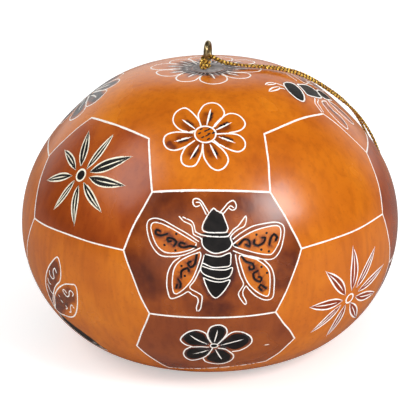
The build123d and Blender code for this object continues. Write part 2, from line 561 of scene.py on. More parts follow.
@dataclass
class Surface:
    """The rind's outer surface: the outline turned about the axis, with shallow dents."""

    outline: Outline
    pattern_turn: float = 0.5
    unevenness: float = 0.16
    shoulder_dent: float = 0.45
    shoulder_bearing: float = 102.0
    shoulder_along: float = 33.0
    shoulder_width: float = 34.0
    shoulder_height: float = 12.0
    calm_crown: float = 9.0
    calm_foot: float = 14.0
    calm_start: float = 3.0
    waves: tuple[float, float, float] = (23.0, 17.0, 31.0)
    wave_shift: float = 1.3
    run_step: float = 0.05
    shading_step: float = 0.35
    least_radius: float = 0.5

    def dent(self, bearing: np.ndarray, along: np.ndarray) -> np.ndarray:
        """How far the skin lies inside the outline.

        Args:
            bearing: degrees round the axis.
            along: lengths from the crown.

        Returns:
            Depths in millimetres, never below zero.
        """
        turn = np.radians(bearing)
        first, second, third = (along / length for length in self.waves)
        wave = np.sin(3 * turn + first) * np.cos(second) + np.sin(2 * turn - third + self.wave_shift)
        fade = np.clip((along - self.calm_start) / self.calm_crown, 0, 1)
        fade = fade * np.clip((self.outline.foot - along) / self.calm_foot, 0, 1)
        aside = (np.mod(bearing - self.shoulder_bearing + 180.0, 360.0) - 180.0) / self.shoulder_width
        down = (along - self.shoulder_along) / self.shoulder_height
        shoulder = self.shoulder_dent * np.exp(-(aside**2) - down**2)
        return (self.unevenness * (0.5 + wave / 4.0) + shoulder) * fade

    def raw(self, bearing: np.ndarray, along: np.ndarray) -> np.ndarray:
        """Points of the skin.

        Args:
            bearing: degrees round the axis, before the pattern's turn.
            along: lengths from the crown.

        Returns:
            Points in millimetres, one to a row.
        """
        radius, height = self.outline.at(along)
        run = self.outline.run(along, self.run_step)
        dent = self.dent(bearing, along)
        radius = radius + dent * run[1]
        height = height - dent * run[0]
        turn = np.radians(bearing + self.pattern_turn)
        return np.stack([radius * np.sin(turn), -radius * np.cos(turn), height], -1)

    def place(self, bearing: np.ndarray, along: np.ndarray) -> tuple[np.ndarray, np.ndarray]:
        """Points of the skin and the outward directions there.

        Args:
            bearing: degrees round the axis, before the pattern's turn.
            along: lengths from the crown.

        Returns:
            Points in millimetres and unit directions, one to a row.
        """
        radius = np.maximum(self.outline.at(along)[0], self.least_radius)
        step = self.shading_step
        side = np.degrees(step / radius)
        across = self.raw(bearing + side, along) - self.raw(bearing - side, along)
        down = self.raw(bearing, along + step) - self.raw(bearing, along - step)
        out = np.cross(down, across)
        out /= np.maximum(np.linalg.norm(out, axis=1), 1e-12)[:, None]
        return self.raw(bearing, along), out


@dataclass(frozen=True)
class Spot:
    """The middle of a motif: bearing and lean in degrees, length from the crown, mirrored or not."""

    bearing: float
    along: float
    lean: float = 0.0
    flip: bool = False


CUT_LINE = 0.27
LEAF_LINE = 0.32
VEIN_LINE = 0.24
HEART_LINE = 0.36
HAND_WANDER = 0.2
HAND_PACE = 0.8


@dataclass(frozen=True)
class Stroke:
    """An incised line through points in a motif's own millimetres."""

    points: Line
    width: float = CUT_LINE
    ends: Ends = Ends.ROUND
    tone: Tone = Tone.WHITE
    step: float = 0.5


@dataclass(frozen=True)
class Fill:
    """A burnt or dyed shape inside an outline."""

    points: Line
    tone: Tone = Tone.BLACK
    step: float = 0.5


@dataclass(frozen=True)
class Scorch:
    """Soft burnt shading that fades out from a line, kept inside an outline if one is given."""

    points: Line
    reach: float
    strength: float = 1.0
    outline: Line = ()


Mark = Stroke | Fill | Scorch


@dataclass
class Motif:
    """Marks drawn about a spot on the rind."""

    spot: Spot
    marks: list[Mark]


def curve_through(points: Line, closed: bool, step: float) -> np.ndarray:
    """Points along a smooth curve through the given points, which is straight for two of them.

    Args:
        points: places to pass through.
        closed: whether the last point joins the first.
        step: wanted distance between the results.

    Returns:
        Points, one to a row; a closed curve doesn't repeat its first.
    """
    given = np.array(points, float)
    count = len(given)
    result = []
    for index in range(count if closed else count - 1):
        a, b = given[index], given[(index + 1) % count]
        if closed or index > 0:
            before = given[index - 1]
        else:
            before = 2 * a - b
        if closed or index + 2 < count:
            after = given[(index + 2) % count]
        else:
            after = 2 * b - a
        pieces = max(1, round(float(np.hypot(*(b - a))) / step))
        for piece in range(pieces):
            t = piece / pieces
            bend = (2 * before - 5 * a + 4 * b - after) * t**2 + (3 * a - before - 3 * b + after) * t**3
            result.append(0.5 * (2 * a + (b - before) * t + bend))
    if not closed:
        result.append(given[-1])
    return np.array(result)


def as_line(points: np.ndarray | list[np.ndarray]) -> Line:
    """Points as plain pairs of numbers."""
    return tuple((float(x), float(y)) for x, y in points)


def shrunk(points: Line, share: float) -> Line:
    """The same shape at a share of its size, about the middle of its points."""
    middle = np.mean(points, axis=0)
    return as_line(middle + (np.array(points) - middle) * share)


def mirrored(points: Line, middle: float) -> Line:
    """The same points on the other side of an upright line at x = middle."""
    return tuple((2 * middle - x, y) for x, y in points)


def ray(turn: float, near: float, far: float) -> Line:
    """A straight line that leaves the motif's middle, between two distances from it.

    Args:
        turn: its direction in degrees, counterclockwise from the right.
        near: distance of its start.
        far: distance of its end.

    Returns:
        Both ends.
    """
    away = np.array([math.cos(math.radians(turn)), math.sin(math.radians(turn))])
    return as_line([away * near, away * far])


def beside(line: Line, start: float, end: float, aside: float) -> Line:
    """Part of a straight line, moved to one side of it.

    Args:
        line: the line.
        start: where the part starts, as a share of the line.
        end: where it ends.
        aside: how far it moves to the line's left.

    Returns:
        Both ends.
    """
    first, last = np.array(line[0]), np.array(line[-1])
    run = last - first
    left = np.array([-run[1], run[0]]) / np.hypot(*run) * aside
    return as_line([first + run * start + left, first + run * end + left])


def petal(axis: Line, width: float, fullness: float = 0.62) -> Line:
    """Outline of a rounded petal.

    Args:
        axis: the petal's narrow foot and the middle of its round end.
        width: its greatest width.
        fullness: where along it the greatest width lies, as a share.

    Returns:
        The outline's points, from one side of the foot round to the other.
    """
    shares = [(0.0, 0.16), (0.3, 0.30), (fullness, 0.5), (0.88, 0.36), (1.0, 0.0)]
    foot, tip = np.array(axis)
    run = tip - foot
    side = np.array([-run[1], run[0]]) / np.hypot(*run) * width
    left = [foot + run * along + side * out for along, out in shares]
    right = [foot + run * along - side * out for along, out in shares[-2::-1]]
    return as_line(left + right)


def ring(centre: Point, across: float, up: float, count: int = 12) -> Line:
    """Points round an ellipse.

    Args:
        centre: its middle.
        across: half its width.
        up: half its height.
        count: number of points.

    Returns:
        The points.
    """
    turns = [2 * math.pi * index / count for index in range(count)]
    return tuple((centre[0] + across * math.cos(a), centre[1] + up * math.sin(a)) for a in turns)


@dataclass(frozen=True)
class Leaf:
    """A pointed leaf cut with one stroke on each side and one for its vein."""

    foot: Point
    tip: Point
    width: float
    bow: float = 0.0

    def side(self, way: int, share: float = 1.0, reach: float = 1.0) -> Line:
        """Points of one side.

        Args:
            way: 1 for the left side, -1 for the right one, 0 for the vein's line.
            share: share of the leaf's width.
            reach: share of its length.

        Returns:
            The points, from the foot to the tip.
        """
        run = np.array(self.tip) - np.array(self.foot)
        left = np.array([-run[1], run[0]]) / np.hypot(*run)
        points = []
        for along, out in ((0.0, 0.0), (0.2, 0.36), (0.45, 0.5), (0.75, 0.32), (1.0, 0.0)):
            aside = way * out * self.width * share + self.bow * 4 * along * (1 - along)
            points.append(np.array(self.foot) + run * along * reach + left * aside)
        return as_line(points)

    def marks(self, fill: Tone, line: Tone) -> list[Mark]:
        """The leaf's fill, sides and vein.

        Args:
            fill: what fills it.
            line: what the cuts show.

        Returns:
            The marks.
        """
        body = self.side(1, 0.9) + self.side(-1, 0.9)[-2:0:-1]
        vein = self.side(0, reach=0.88)[1:]
        return [
            Fill(body, fill),
            Stroke(self.side(1, reach=1.04), LEAF_LINE, Ends.POINTED, line),
            Stroke(self.side(-1), LEAF_LINE, Ends.POINTED, line),
            Stroke(vein, VEIN_LINE, Ends.POINTED, line),
        ]


# Motifs


def cuts(
    lines: list[Line], width: float = CUT_LINE, ends: Ends = Ends.ROUND, tone: Tone = Tone.WHITE
) -> list[Mark]:
    """One incised line for each run of points."""
    return [Stroke(line, width, ends, tone, step=0.4) for line in lines]


def outlined(shape: Line, tone: Tone = Tone.BLACK, width: float = CUT_LINE) -> list[Mark]:
    """A filled shape with a white line round it."""
    return [Fill(shape, tone), Stroke(shape, width, Ends.CLOSED)]


def dots(places: list[Point], radius: float, tone: Tone) -> list[Mark]:
    """Small round spots."""
    return [Fill(ring(place, radius, radius, 6), tone, step=0.3) for place in places]


def leaf_burst(spot: Spot, leaves: list[Leaf], heart: Line, fills: tuple[Tone, ...], line: Tone) -> Motif:
    """Pointed leaves round a small ring.

    Args:
        spot: the motif's middle.
        leaves: the leaves.
        heart: the ring.
        fills: what fills the leaves, and then the ring if a second one is given.
        line: what the cuts show.

    Returns:
        The motif.
    """
    marks: list[Mark] = []
    for one in leaves:
        marks.extend(one.marks(fills[0], line))
    marks.extend(Fill(heart, tone, step=0.4) for tone in fills[1:])
    marks.append(Stroke(heart, HEART_LINE, Ends.CLOSED, line, step=0.4))
    return Motif(spot, marks)


def dark_leaf_burst(spot: Spot) -> Motif:
    """The cream-edged leaf burst of the dark upper panel."""
    leaves = [
        Leaf((-3.3, 2.0), (-6.9, 9.1), 2.1, -0.1), Leaf((-1.4, 1.9), (0.4, 10.3), 1.6, -0.15),
        Leaf((-0.2, 1.6), (7.4, 6.6), 2.4, 0.05), Leaf((0.2, 0.6), (9.1, 0.6), 1.9, -0.15),
        Leaf((-0.6, -0.7), (6.4, -5.3), 1.5, -0.1), Leaf((-1.6, -1.5), (0.7, -9.2), 1.6, -0.25),
        Leaf((-3.2, -0.9), (-6.5, -7.8), 1.3, 0.25), Leaf((-4.5, -0.3), (-12.7, -3.7), 1.5, -0.1),
        Leaf((-4.3, 1.0), (-11.5, 3.3), 1.5, -0.37),
    ]
    return leaf_burst(spot, leaves, ring((-2.15, 0.4), 1.2, 1.2), (Tone.BLACK, Tone.BLACK), Tone.CREAM)


def brown_leaf_burst(spot: Spot) -> Motif:
    """The white-edged leaf burst of the amber lower field."""
    leaves = [
        Leaf((-0.4, -1.6), (-0.4, 7.8), 2.1, -0.2), Leaf((0.9, -1.4), (6.9, 5.4), 1.8),
        Leaf((1.8, -2.5), (11.4, 0.0), 1.8, -0.1), Leaf((1.3, -3.6), (10.3, -6.2), 2.0, -0.2),
        Leaf((-2.2, -2.0), (-7.9, 4.7), 1.95, -0.25), Leaf((-2.6, -3.1), (-11.1, -2.1), 2.1, 0.2),
        Leaf((-2.8, -4.1), (-8.6, -9.2), 1.7), Leaf((-1.4, -4.5), (-2.7, -13.0), 1.9),
        Leaf((0.0, -4.5), (6.0, -11.5), 1.8),
    ]
    return leaf_burst(spot, leaves, ring((-0.55, -3.3), 1.05, 1.05), (Tone.BROWN,), Tone.WHITE)


def burnt_dash(shape: Line, dash: Line, side: int, width: float = 0.30) -> list[Mark]:
    """A petal's white dash in its burnt shading: broad on one side, a narrow dark core on the other.

    Args:
        shape: the petal's outline.
        dash: the dash, from its foot to its tip.
        side: 1 where the core lies on the dash's left, -1 on its right.
        width: the dash's width.

    Returns:
        The marks.
    """
    return [
        Scorch(beside(dash, 0.0, 0.6, -0.35 * side), 1.6, 0.45, shape),
        Scorch(beside(dash, 0.32, 0.72, 0.27 * side), 0.65, 1.0, shape),
        Stroke(dash, width, Ends.POINTED),
    ]


def front_daisy(spot: Spot) -> Motif:
    """The seven-petalled daisy of the arm in front."""
    shapes = [
        ((-1.7, 5.3), (-2.2, 7.8), (-1.8, 9.4), (-0.9, 11.0), (0.5, 11.6), (1.8, 11.0), (2.8, 9.2),
         (2.7, 7.7), (1.2, 5.6), (0.6, 5.0)),
        ((0.6, 5.0), (1.5, 6.3), (2.9, 7.8), (4.3, 8.3), (5.9, 7.5), (7.0, 5.5), (6.2, 4.1), (4.2, 3.6),
         (1.2, 3.4)),
        ((1.2, 3.4), (3.5, 3.4), (5.5, 2.9), (6.7, 1.5), (6.7, 0.0), (5.5, -0.8), (3.7, -0.2), (1.8, 1.0),
         (0.8, 1.9)),
        ((0.4, 1.8), (1.4, 0.9), (2.8, -0.7), (3.4, -2.4), (2.8, -3.8), (1.5, -4.5), (0.1, -3.9),
         (-1.1, -2.0), (-1.4, -0.3), (-1.4, 1.2)),
        ((-1.4, 1.2), (-1.7, -0.8), (-2.8, -3.3), (-4.3, -3.7), (-5.4, -3.1), (-5.6, -1.6), (-4.7, 0.4),
         (-3.0, 1.9)),
        ((-3.0, 1.9), (-4.8, 0.5), (-6.8, -0.4), (-8.4, -0.1), (-9.1, 1.2), (-8.7, 2.7), (-7.0, 3.6),
         (-5.0, 3.75), (-3.3, 3.7)),
        ((-2.7, 4.2), (-4.1, 3.9), (-5.8, 4.3), (-7.0, 5.6), (-7.2, 7.0), (-6.5, 8.7), (-4.9, 9.9),
         (-3.6, 9.0), (-2.4, 7.3), (-2.0, 6.5)),
    ]
    dashes = [
        ((-0.6, 5.4), (0.3, 9.9)), ((1.1, 4.3), (4.4, 6.1)), ((1.4, 2.9), (4.9, 1.2)),
        ((-0.1, 1.3), (1.3, -2.2)),
        ((-2.1, 1.1), (-3.9, -2.2)), ((-3.5, 2.8), (-7.0, 1.5)), ((-2.8, 4.6), (-5.5, 6.9)),
    ]
    seeds = [
        (-1.7, 4.6), (-0.1, 4.6), (-0.8, 4.2), (-2.0, 3.6), (-0.2, 3.5), (0.7, 3.7), (-0.6, 3.1), (-1.4, 2.7),
        (-0.3, 2.3),
    ]
    marks: list[Mark] = [Scorch(((-8.0, 0.9), (-7.2, 0.3)), 1.2, 0.6, shapes[5])]
    for shape, dash, side in zip(shapes, dashes, (-1, 1, 1, 1, 1, 1, -1)):
        marks.extend(burnt_dash(shape, dash, side, 0.34))
    marks.extend(cuts(shapes, 0.29))
    marks.append(Stroke(ring((-0.9, 3.4), 2.05, 1.9), 0.29, Ends.CLOSED, step=0.4))
    marks.extend(cuts([((x - 0.2, y - 0.12), (x + 0.2, y + 0.12)) for x, y in seeds], 0.32, tone=Tone.BLACK))
    return Motif(spot, marks)


def round_daisy(spot: Spot, petals: int, foot: float, reach: float, width: float) -> Motif:
    """A daisy of equal petals.

    Args:
        spot: its middle.
        petals: their number.
        foot: radius where the petals start.
        reach: radius of their tips.
        width: each petal's width.

    Returns:
        The motif.
    """
    marks: list[Mark] = []
    for index in range(petals):
        turn = 90.0 + 360.0 * index / petals
        shape = petal(ray(turn, foot, reach * (1 + 0.07 * math.sin(5.1 * index + 1))), width)
        dash = ray(turn, foot + 0.3, foot + 0.62 * (reach - foot))
        marks += [*burnt_dash(shape, dash, 1), Stroke(shape)]
    marks.append(Stroke(ring((0.0, 0.0), foot * 0.85, foot * 0.85), CUT_LINE, Ends.CLOSED, step=0.4))
    return Motif(spot, marks)


def black_flower(spot: Spot) -> Motif:
    """The five black petals of the lowest dark panel."""
    shapes = [
        ((-0.3, 2.8), (-0.8, 4.1), (-1.0, 5.6), (-0.4, 7.2), (1.2, 7.7), (2.4, 7.0), (2.7, 5.6), (1.9, 3.9),
         (0.9, 2.5)),
        ((0.9, 2.5), (2.4, 4.4), (3.3, 5.4), (4.4, 5.8), (5.9, 5.4), (7.3, 4.1), (7.6, 2.6), (6.9, 1.3),
         (5.4, 0.1), (3.8, -0.2)),
        ((1.0, 1.2), (2.3, 0.8), (3.3, -0.3), (4.0, -1.6), (3.8, -3.2), (2.8, -4.5), (1.4, -5.1),
         (-0.3, -4.7), (-1.5, -3.8), (-2.0, -2.3)),
        ((-0.1, 1.2), (-0.6, -0.1), (-1.3, -1.5), (-2.6, -2.7), (-4.2, -3.4), (-5.3, -2.5), (-5.8, -0.9),
         (-5.4, 0.6), (-4.3, 1.6)),
        ((-4.1, 1.7), (-5.4, 2.3), (-6.3, 3.6), (-5.7, 5.0), (-4.4, 6.1), (-2.9, 6.4), (-1.4, 5.6),
         (-0.9, 4.2), (-0.3, 2.8)),
    ]
    veins = [
        ((0.2, 3.0), (0.6, 4.8), (0.9, 6.4)), ((1.2, 2.0), (3.6, 2.8), (6.0, 3.5)),
        ((0.4, 1.0), (1.0, -0.9), (1.8, -3.3)),
        ((-0.7, 0.7), (-2.4, -0.2), (-4.0, -0.9)), ((-0.8, 2.3), (-1.9, 3.0), (-3.2, 3.9), (-4.6, 5.2)),
    ]
    marks: list[Mark] = []
    for shape, vein in zip(shapes, veins):
        marks += [Scorch(vein, 2.9, 1.0, shape), Fill(shrunk(shape + vein[:1], 0.78))]
    marks.extend(cuts(shapes))
    marks.extend(cuts(veins, 0.24, Ends.POINTED))
    marks.extend(cuts([((-4.1, 1.6), (-2.4, 1.7), (-0.9, 1.6))], 0.24))
    marks.extend(outlined(ring((0.2, 2.0), 0.75, 0.6), width=0.22))
    marks.extend(cuts([((10.1, 0.9), (11.2, 0.9))], 0.24, Ends.POINTED))
    return Motif(spot, marks)


def bee(spot: Spot) -> Motif:
    """The bee of the front panel, seen from above with open wings."""
    head = (
        (0.4, 9.45), (1.0, 8.95), (1.5, 8.7), (2.05, 8.45), (2.4, 7.6), (2.8, 6.5), (3.1, 5.5), (2.8, 4.85),
        (1.3, 4.8),
        (-0.8, 4.9), (-1.75, 5.4), (-1.6, 6.5), (-0.9, 7.8), (-0.45, 8.55),
    )
    thorax = (
        (-1.9, 3.9), (0.3, 4.1), (2.4, 4.0), (3.5, 3.8), (3.8, 2.7), (3.1, 1.6), (1.4, 1.0), (-0.4, 1.2),
        (-1.8, 2.6),
    )
    abdomen = (
        (-1.3, 0.9), (1.0, 0.5), (3.4, 0.9), (3.5, -0.8), (3.8, -1.9), (3.3, -4.3), (2.6, -5.8),
        (1.5, -7.2), (0.5, -7.8),
        (-0.5, -6.8), (-1.3, -5.0), (-1.7, -3.7), (-2.2, -2.1), (-1.8, -0.6),
    )
    collar = (
        (-2.3, 4.6), (-0.8, 4.85), (1.3, 4.75), (2.9, 4.8), (3.4, 4.4), (2.4, 4.0), (0.3, 4.1),
        (-1.8, 4.4),
    )
    bands = [
        ((-1.2, 0.8), (0.3, 0.4), (1.7, 0.35), (3.4, 0.9), (3.5, -0.4), (3.3, -1.5), (2.0, -1.7),
         (0.1, -1.7), (-1.7, -0.9)),
        ((-1.5, 0.6), (-1.9, -0.9), (-2.2, -2.1), (-1.6, -3.0), (-0.3, -3.6), (1.3, -4.0), (3.2, -3.6),
         (3.8, -1.9), (2.5, -2.25), (0.1, -2.1), (-1.8, -1.5)),
        ((-1.7, -3.7), (0.0, -4.4), (1.7, -4.6), (3.3, -4.3), (2.6, -5.8), (1.5, -7.2), (0.5, -7.8),
         (-0.5, -6.8), (-1.3, -5.0), (-1.7, -3.7)),
    ]
    inner_wings = [
        ((-2.9, 2.9), (-5.2, 4.2), (-7.6, 5.5), (-9.8, 6.3), (-11.2, 6.25), (-11.65, 5.4), (-11.3, 3.8),
         (-10.5, 2.1), (-9.1, 1.0), (-7.2, 0.85), (-5.0, 1.3), (-3.3, 2.0)),
        ((3.9, 2.5), (5.7, 3.7), (7.9, 4.7), (10.4, 5.2), (12.7, 5.2), (13.4, 4.2), (13.0, 2.1),
         (11.7, 0.2), (10.7, 0.0), (8.6, 0.5), (6.3, 1.3), (4.4, 2.0)),
        ((-2.3, 1.2), (-4.2, 0.5), (-6.1, -0.6), (-7.2, -2.1), (-7.6, -4.4), (-7.5, -6.5), (-6.9, -7.1),
         (-5.3, -5.9), (-3.8, -4.0), (-2.8, -1.7), (-2.1, 0.6)),
        ((8.5, -0.7), (10.0, -1.9), (10.9, -3.2), (11.1, -5.1), (10.9, -7.8), (10.2, -8.2), (8.4, -7.0),
         (6.8, -5.2), (5.9, -3.1), (5.1, -0.2), (5.2, 0.3), (6.6, 0.0)),
    ]
    outer_lines = [
        ((-2.5, 3.2), (-4.6, 4.6), (-7.1, 5.9), (-9.2, 6.9), (-10.9, 7.15), (-12.1, 6.6), (-12.45, 5.3),
         (-12.0, 3.1), (-11.1, 1.4), (-9.7, 0.25), (-7.4, 0.2), (-5.3, 0.6), (-3.0, 1.6), (-2.2, 2.0)),
        ((4.0, 3.5), (5.6, 4.6), (7.7, 5.6), (10.0, 5.9), (12.3, 5.9), (13.7, 5.3), (14.15, 4.2),
         (13.8, 2.2), (13.2, 0.5), (12.0, -0.8), (10.4, -0.9), (8.2, -0.3), (6.0, 0.4), (4.0, 1.3)),
        ((-6.1, 0.1), (-7.4, -0.9), (-8.4, -2.8), (-8.7, -5.1), (-8.5, -6.8), (-8.0, -8.1), (-6.6, -7.7),
         (-5.4, -7.0), (-4.6, -6.5), (-3.9, -7.1), (-2.9, -7.7), (-2.75, -8.6), (-3.1, -9.8), (-3.0, -10.6)),
        ((-2.2, -1.9), (-3.4, -4.3), (-4.3, -5.7), (-2.8, -6.7), (-2.0, -7.4), (-2.1, -8.8), (-2.3, -10.0),
         (-2.7, -10.6)),
        ((9.9, -0.9), (11.3, -2.5), (11.9, -4.4), (11.9, -6.6), (11.6, -8.7), (10.2, -9.0), (8.4, -8.0),
         (6.9, -6.4), (6.4, -5.7), (5.8, -6.6), (5.8, -7.5), (6.4, -8.9), (6.3, -9.5), (5.8, -9.1),
         (4.9, -7.3), (5.4, -6.2), (5.9, -5.2), (5.2, -3.4), (4.7, -1.4), (4.5, -0.2), (4.4, 0.5)),
        ((-3.1, 5.0), (-1.8, 4.4), (0.3, 4.1), (2.4, 4.0), (3.2, 4.2), (4.0, 5.2), (5.0, 5.9), (5.9, 7.0),
         (6.5, 7.7), (6.6, 6.9), (6.2, 5.8), (5.2, 5.35), (4.2, 4.7), (3.5, 3.8), (3.8, 2.7), (3.1, 1.6),
         (1.4, 1.0), (0.2, 1.0), (-1.1, 1.7), (-1.8, 2.6), (-1.9, 3.8)),
        ((-5.4, 7.7), (-3.8, 7.0), (-3.3, 6.2), (-3.1, 5.2), (-2.7, 4.8)),
        ((-6.1, 7.8), (-5.2, 6.9), (-3.9, 6.3), (-3.6, 5.5), (-3.4, 4.5), (-2.2, 3.9), (-2.0, 3.6)),
    ]
    feelers = [
        ((-0.5, 8.6), (-1.2, 9.8), (-1.9, 10.9), (-2.7, 11.35), (-3.4, 11.1), (-3.4, 10.2), (-2.9, 9.75),
         (-2.2, 10.0)),
        ((-1.0, 8.3), (-1.7, 9.8), (-2.2, 10.6), (-2.8, 10.6)),
        ((1.6, 8.6), (2.5, 9.6), (3.2, 10.4), (4.2, 10.8), (4.7, 10.0), (4.6, 9.2), (3.9, 8.95), (3.2, 9.5)),
        ((2.1, 8.2), (2.8, 9.0), (3.6, 9.8), (4.2, 9.4)),
    ]
    scrolls = [
        ((-9.8, 4.8), (-10.5, 5.0), (-10.7, 4.3), (-9.7, 4.0), (-8.4, 4.4)),
        ((-7.7, 3.1), (-8.3, 3.0), (-8.4, 3.6), (-7.5, 3.6), (-6.7, 3.0), (-7.2, 2.2)),
        ((-5.1, 2.7), (-5.9, 2.9), (-6.2, 2.3), (-5.3, 2.0), (-4.1, 2.3), (-3.0, 2.1)),
        ((-4.0, -0.6), (-4.6, -1.0), (-4.1, -1.7), (-3.3, -1.1), (-2.9, 0.7)),
        ((-4.4, -2.5), (-4.7, -1.9), (-5.8, -2.5), (-5.9, -3.7)), ((-6.5, -4.1), (-6.0, -5.0), (-6.2, -5.8)),
        ((-6.7, -5.2), (-6.9, -5.9)), ((5.1, 2.4), (6.1, 3.3), (7.1, 2.9), (7.1, 1.9), (6.4, 2.3)),
        ((8.1, 3.0), (8.0, 2.3), (8.8, 1.9), (9.9, 2.4), (10.2, 3.2), (9.6, 3.3)),
        ((11.0, 1.8), (11.3, 3.0), (12.0, 3.7), (12.6, 3.0), (12.3, 2.5)), ((4.3, 2.4), (4.7, 2.2)),
        ((5.6, 0.1), (6.4, -0.9), (7.7, -1.5), (7.9, -2.4), (7.1, -2.5), (7.0, -2.0)),
        ((8.7, -2.9), (7.8, -3.4), (8.1, -4.5), (9.1, -5.1), (9.4, -4.4), (8.8, -4.1)),
        ((10.3, -6.6), (9.2, -5.7), (8.9, -6.2), (9.4, -6.9)),
    ]
    specks = [
        (-9.0, 2.3), (-6.9, 1.4), (-6.7, 4.5), (-5.8, -1.5), (-5.2, -3.4), (8.5, 4.0), (10.5, 4.1),
        (9.4, 1.1),
        (10.9, 0.6), (9.4, -2.2), (10.5, -3.5),
    ]
    marks: list[Mark] = [Fill(shape, Tone.AMBER) for shape in inner_wings]
    marks += [Scorch(abdomen, 1.3, 0.55), Scorch(thorax, 1.2, 0.5)]
    marks.append(Scorch(shrunk(head, 0.75), 1.3, 1.0, head))
    marks += [Fill(shape) for shape in (shrunk(head, 0.86), thorax, abdomen, collar)]
    marks += [Scorch(line, 0.55, 0.6) for line in scrolls]
    marks.extend(cuts(scrolls, 0.42, tone=Tone.BLACK))
    marks.extend(dots(specks, 0.27, Tone.BLACK))
    marks.extend(cuts([shape + shape[:1] for shape in inner_wings], 0.21))
    marks.extend(cuts(outer_lines, 0.22))
    marks.extend(cuts(bands, 0.21))
    marks.append(Stroke(head, 0.22, Ends.CLOSED))
    marks.extend(cuts(feelers, 0.23))
    marks.extend(cuts([((6.5, 0.2), (8.0, -0.3), (9.5, -0.7))], 0.5, Ends.POINTED))
    return Motif(spot, marks)


def butterfly(spot: Spot, strip: bool = False) -> Motif:
    """A butterfly with its wings half open, drawn on one side and mirrored on the other.

    Args:
        spot: its middle.
        strip: draws the right wings alone, with the black strip below them.

    Returns:
        The motif.
    """
    middle = -10.4
    wings = [
        ((-9.2, -8.8), (-9.3, -7.2), (-9.4, -5.3), (-9.4, -3.6), (-9.0, -1.8), (-7.9, 0.5), (-6.7, 2.3),
         (-5.2, 4.0), (-3.2, 5.7), (-2.3, 4.4), (-2.2, 2.4), (-2.8, 0.7), (-4.1, -0.5), (-5.4, -1.9),
         (-7.0, -4.3), (-8.0, -5.9)),
        ((-8.9, -8.6), (-7.6, -6.6), (-6.3, -4.1), (-5.0, -2.5), (-3.7, -1.2), (-2.2, -0.1), (-0.9, 0.6),
         (0.6, 1.0), (1.9, 1.2), (2.3, 0.0), (1.9, -2.2), (1.3, -3.9), (0.2, -5.8), (-1.4, -7.5),
         (-3.4, -8.5), (-5.2, -8.9), (-7.7, -9.4)),
    ]
    tips = [(-4.2, 3.4), (-0.2, -1.6)]
    squiggles = [
        ((-6.3, 1.8), (-6.4, 1.0), (-5.6, 0.3), (-4.8, 0.7), (-4.9, 2.2), (-4.2, 3.0), (-3.7, 2.2)),
        ((-7.5, -0.3), (-7.3, -1.2), (-6.7, -1.4)), ((-8.1, -1.9), (-7.9, -2.6), (-7.6, -3.4), (-6.9, -3.7)),
        ((-1.1, -1.5), (-1.9, -0.9), (-2.3, -1.5), (-1.4, -2.4), (-0.5, -1.9), (-0.2, -0.9), (0.4, -0.5),
         (1.0, -1.0), (0.6, -1.7)),
        ((-2.4, -6.7), (-1.7, -6.4), (-1.1, -4.8), (-0.4, -4.1), (0.0, -4.8)),
        ((-2.8, -5.2), (-2.6, -5.8), (-3.2, -6.2)),
        ((-4.0, -4.3), (-3.6, -4.7)), ((-4.4, -3.1), (-4.1, -3.4)),
    ]
    body = ((-10.4, -4.2), (-9.9, -5.2), (-9.8, -8.0), (-10.4, -12.0), (-11.0, -8.0), (-10.9, -5.2))
    marks: list[Mark] = []
    for turned in (False,) if strip else (False, True):
        shapes = [mirrored(shape, middle) if turned else shape for shape in (*wings, tips, *squiggles)]
        for wing, tip in zip(shapes, shapes[2]):
            marks += [Scorch((wing[0], tip), 3.0, 0.62, wing), Stroke(wing, 0.26, Ends.CLOSED)]
        marks.extend(cuts(shapes[3:], 0.22))
    if not strip:
        marks.extend(outlined(body))
        for way in (-1, 1):
            feeler = ((middle, -4.0), (middle + 0.8 * way, -1.4), (middle + 1.9 * way, 0.2))
            marks.append(Stroke(feeler, 0.24, Ends.POINTED))
    else:
        leaf = (
            (-8.6, -9.9), (-5.0, -10.8), (-2.1, -12.1), (0.3, -13.9), (1.2, -16.2), (1.8, -17.9),
            (-1.5, -18.0), (-5.0, -15.6), (-8.5, -12.4),
        )
        marks.append(Fill(leaf))
        marks.extend(cuts([((0.2, -16.6), (1.1, -17.4)), ((-0.7, -15.5), (0.2, -16.1))], 0.24, Ends.POINTED))
        marks.extend(cuts([leaf[5:] + leaf[:1]], 0.25))
    return Motif(spot, marks)


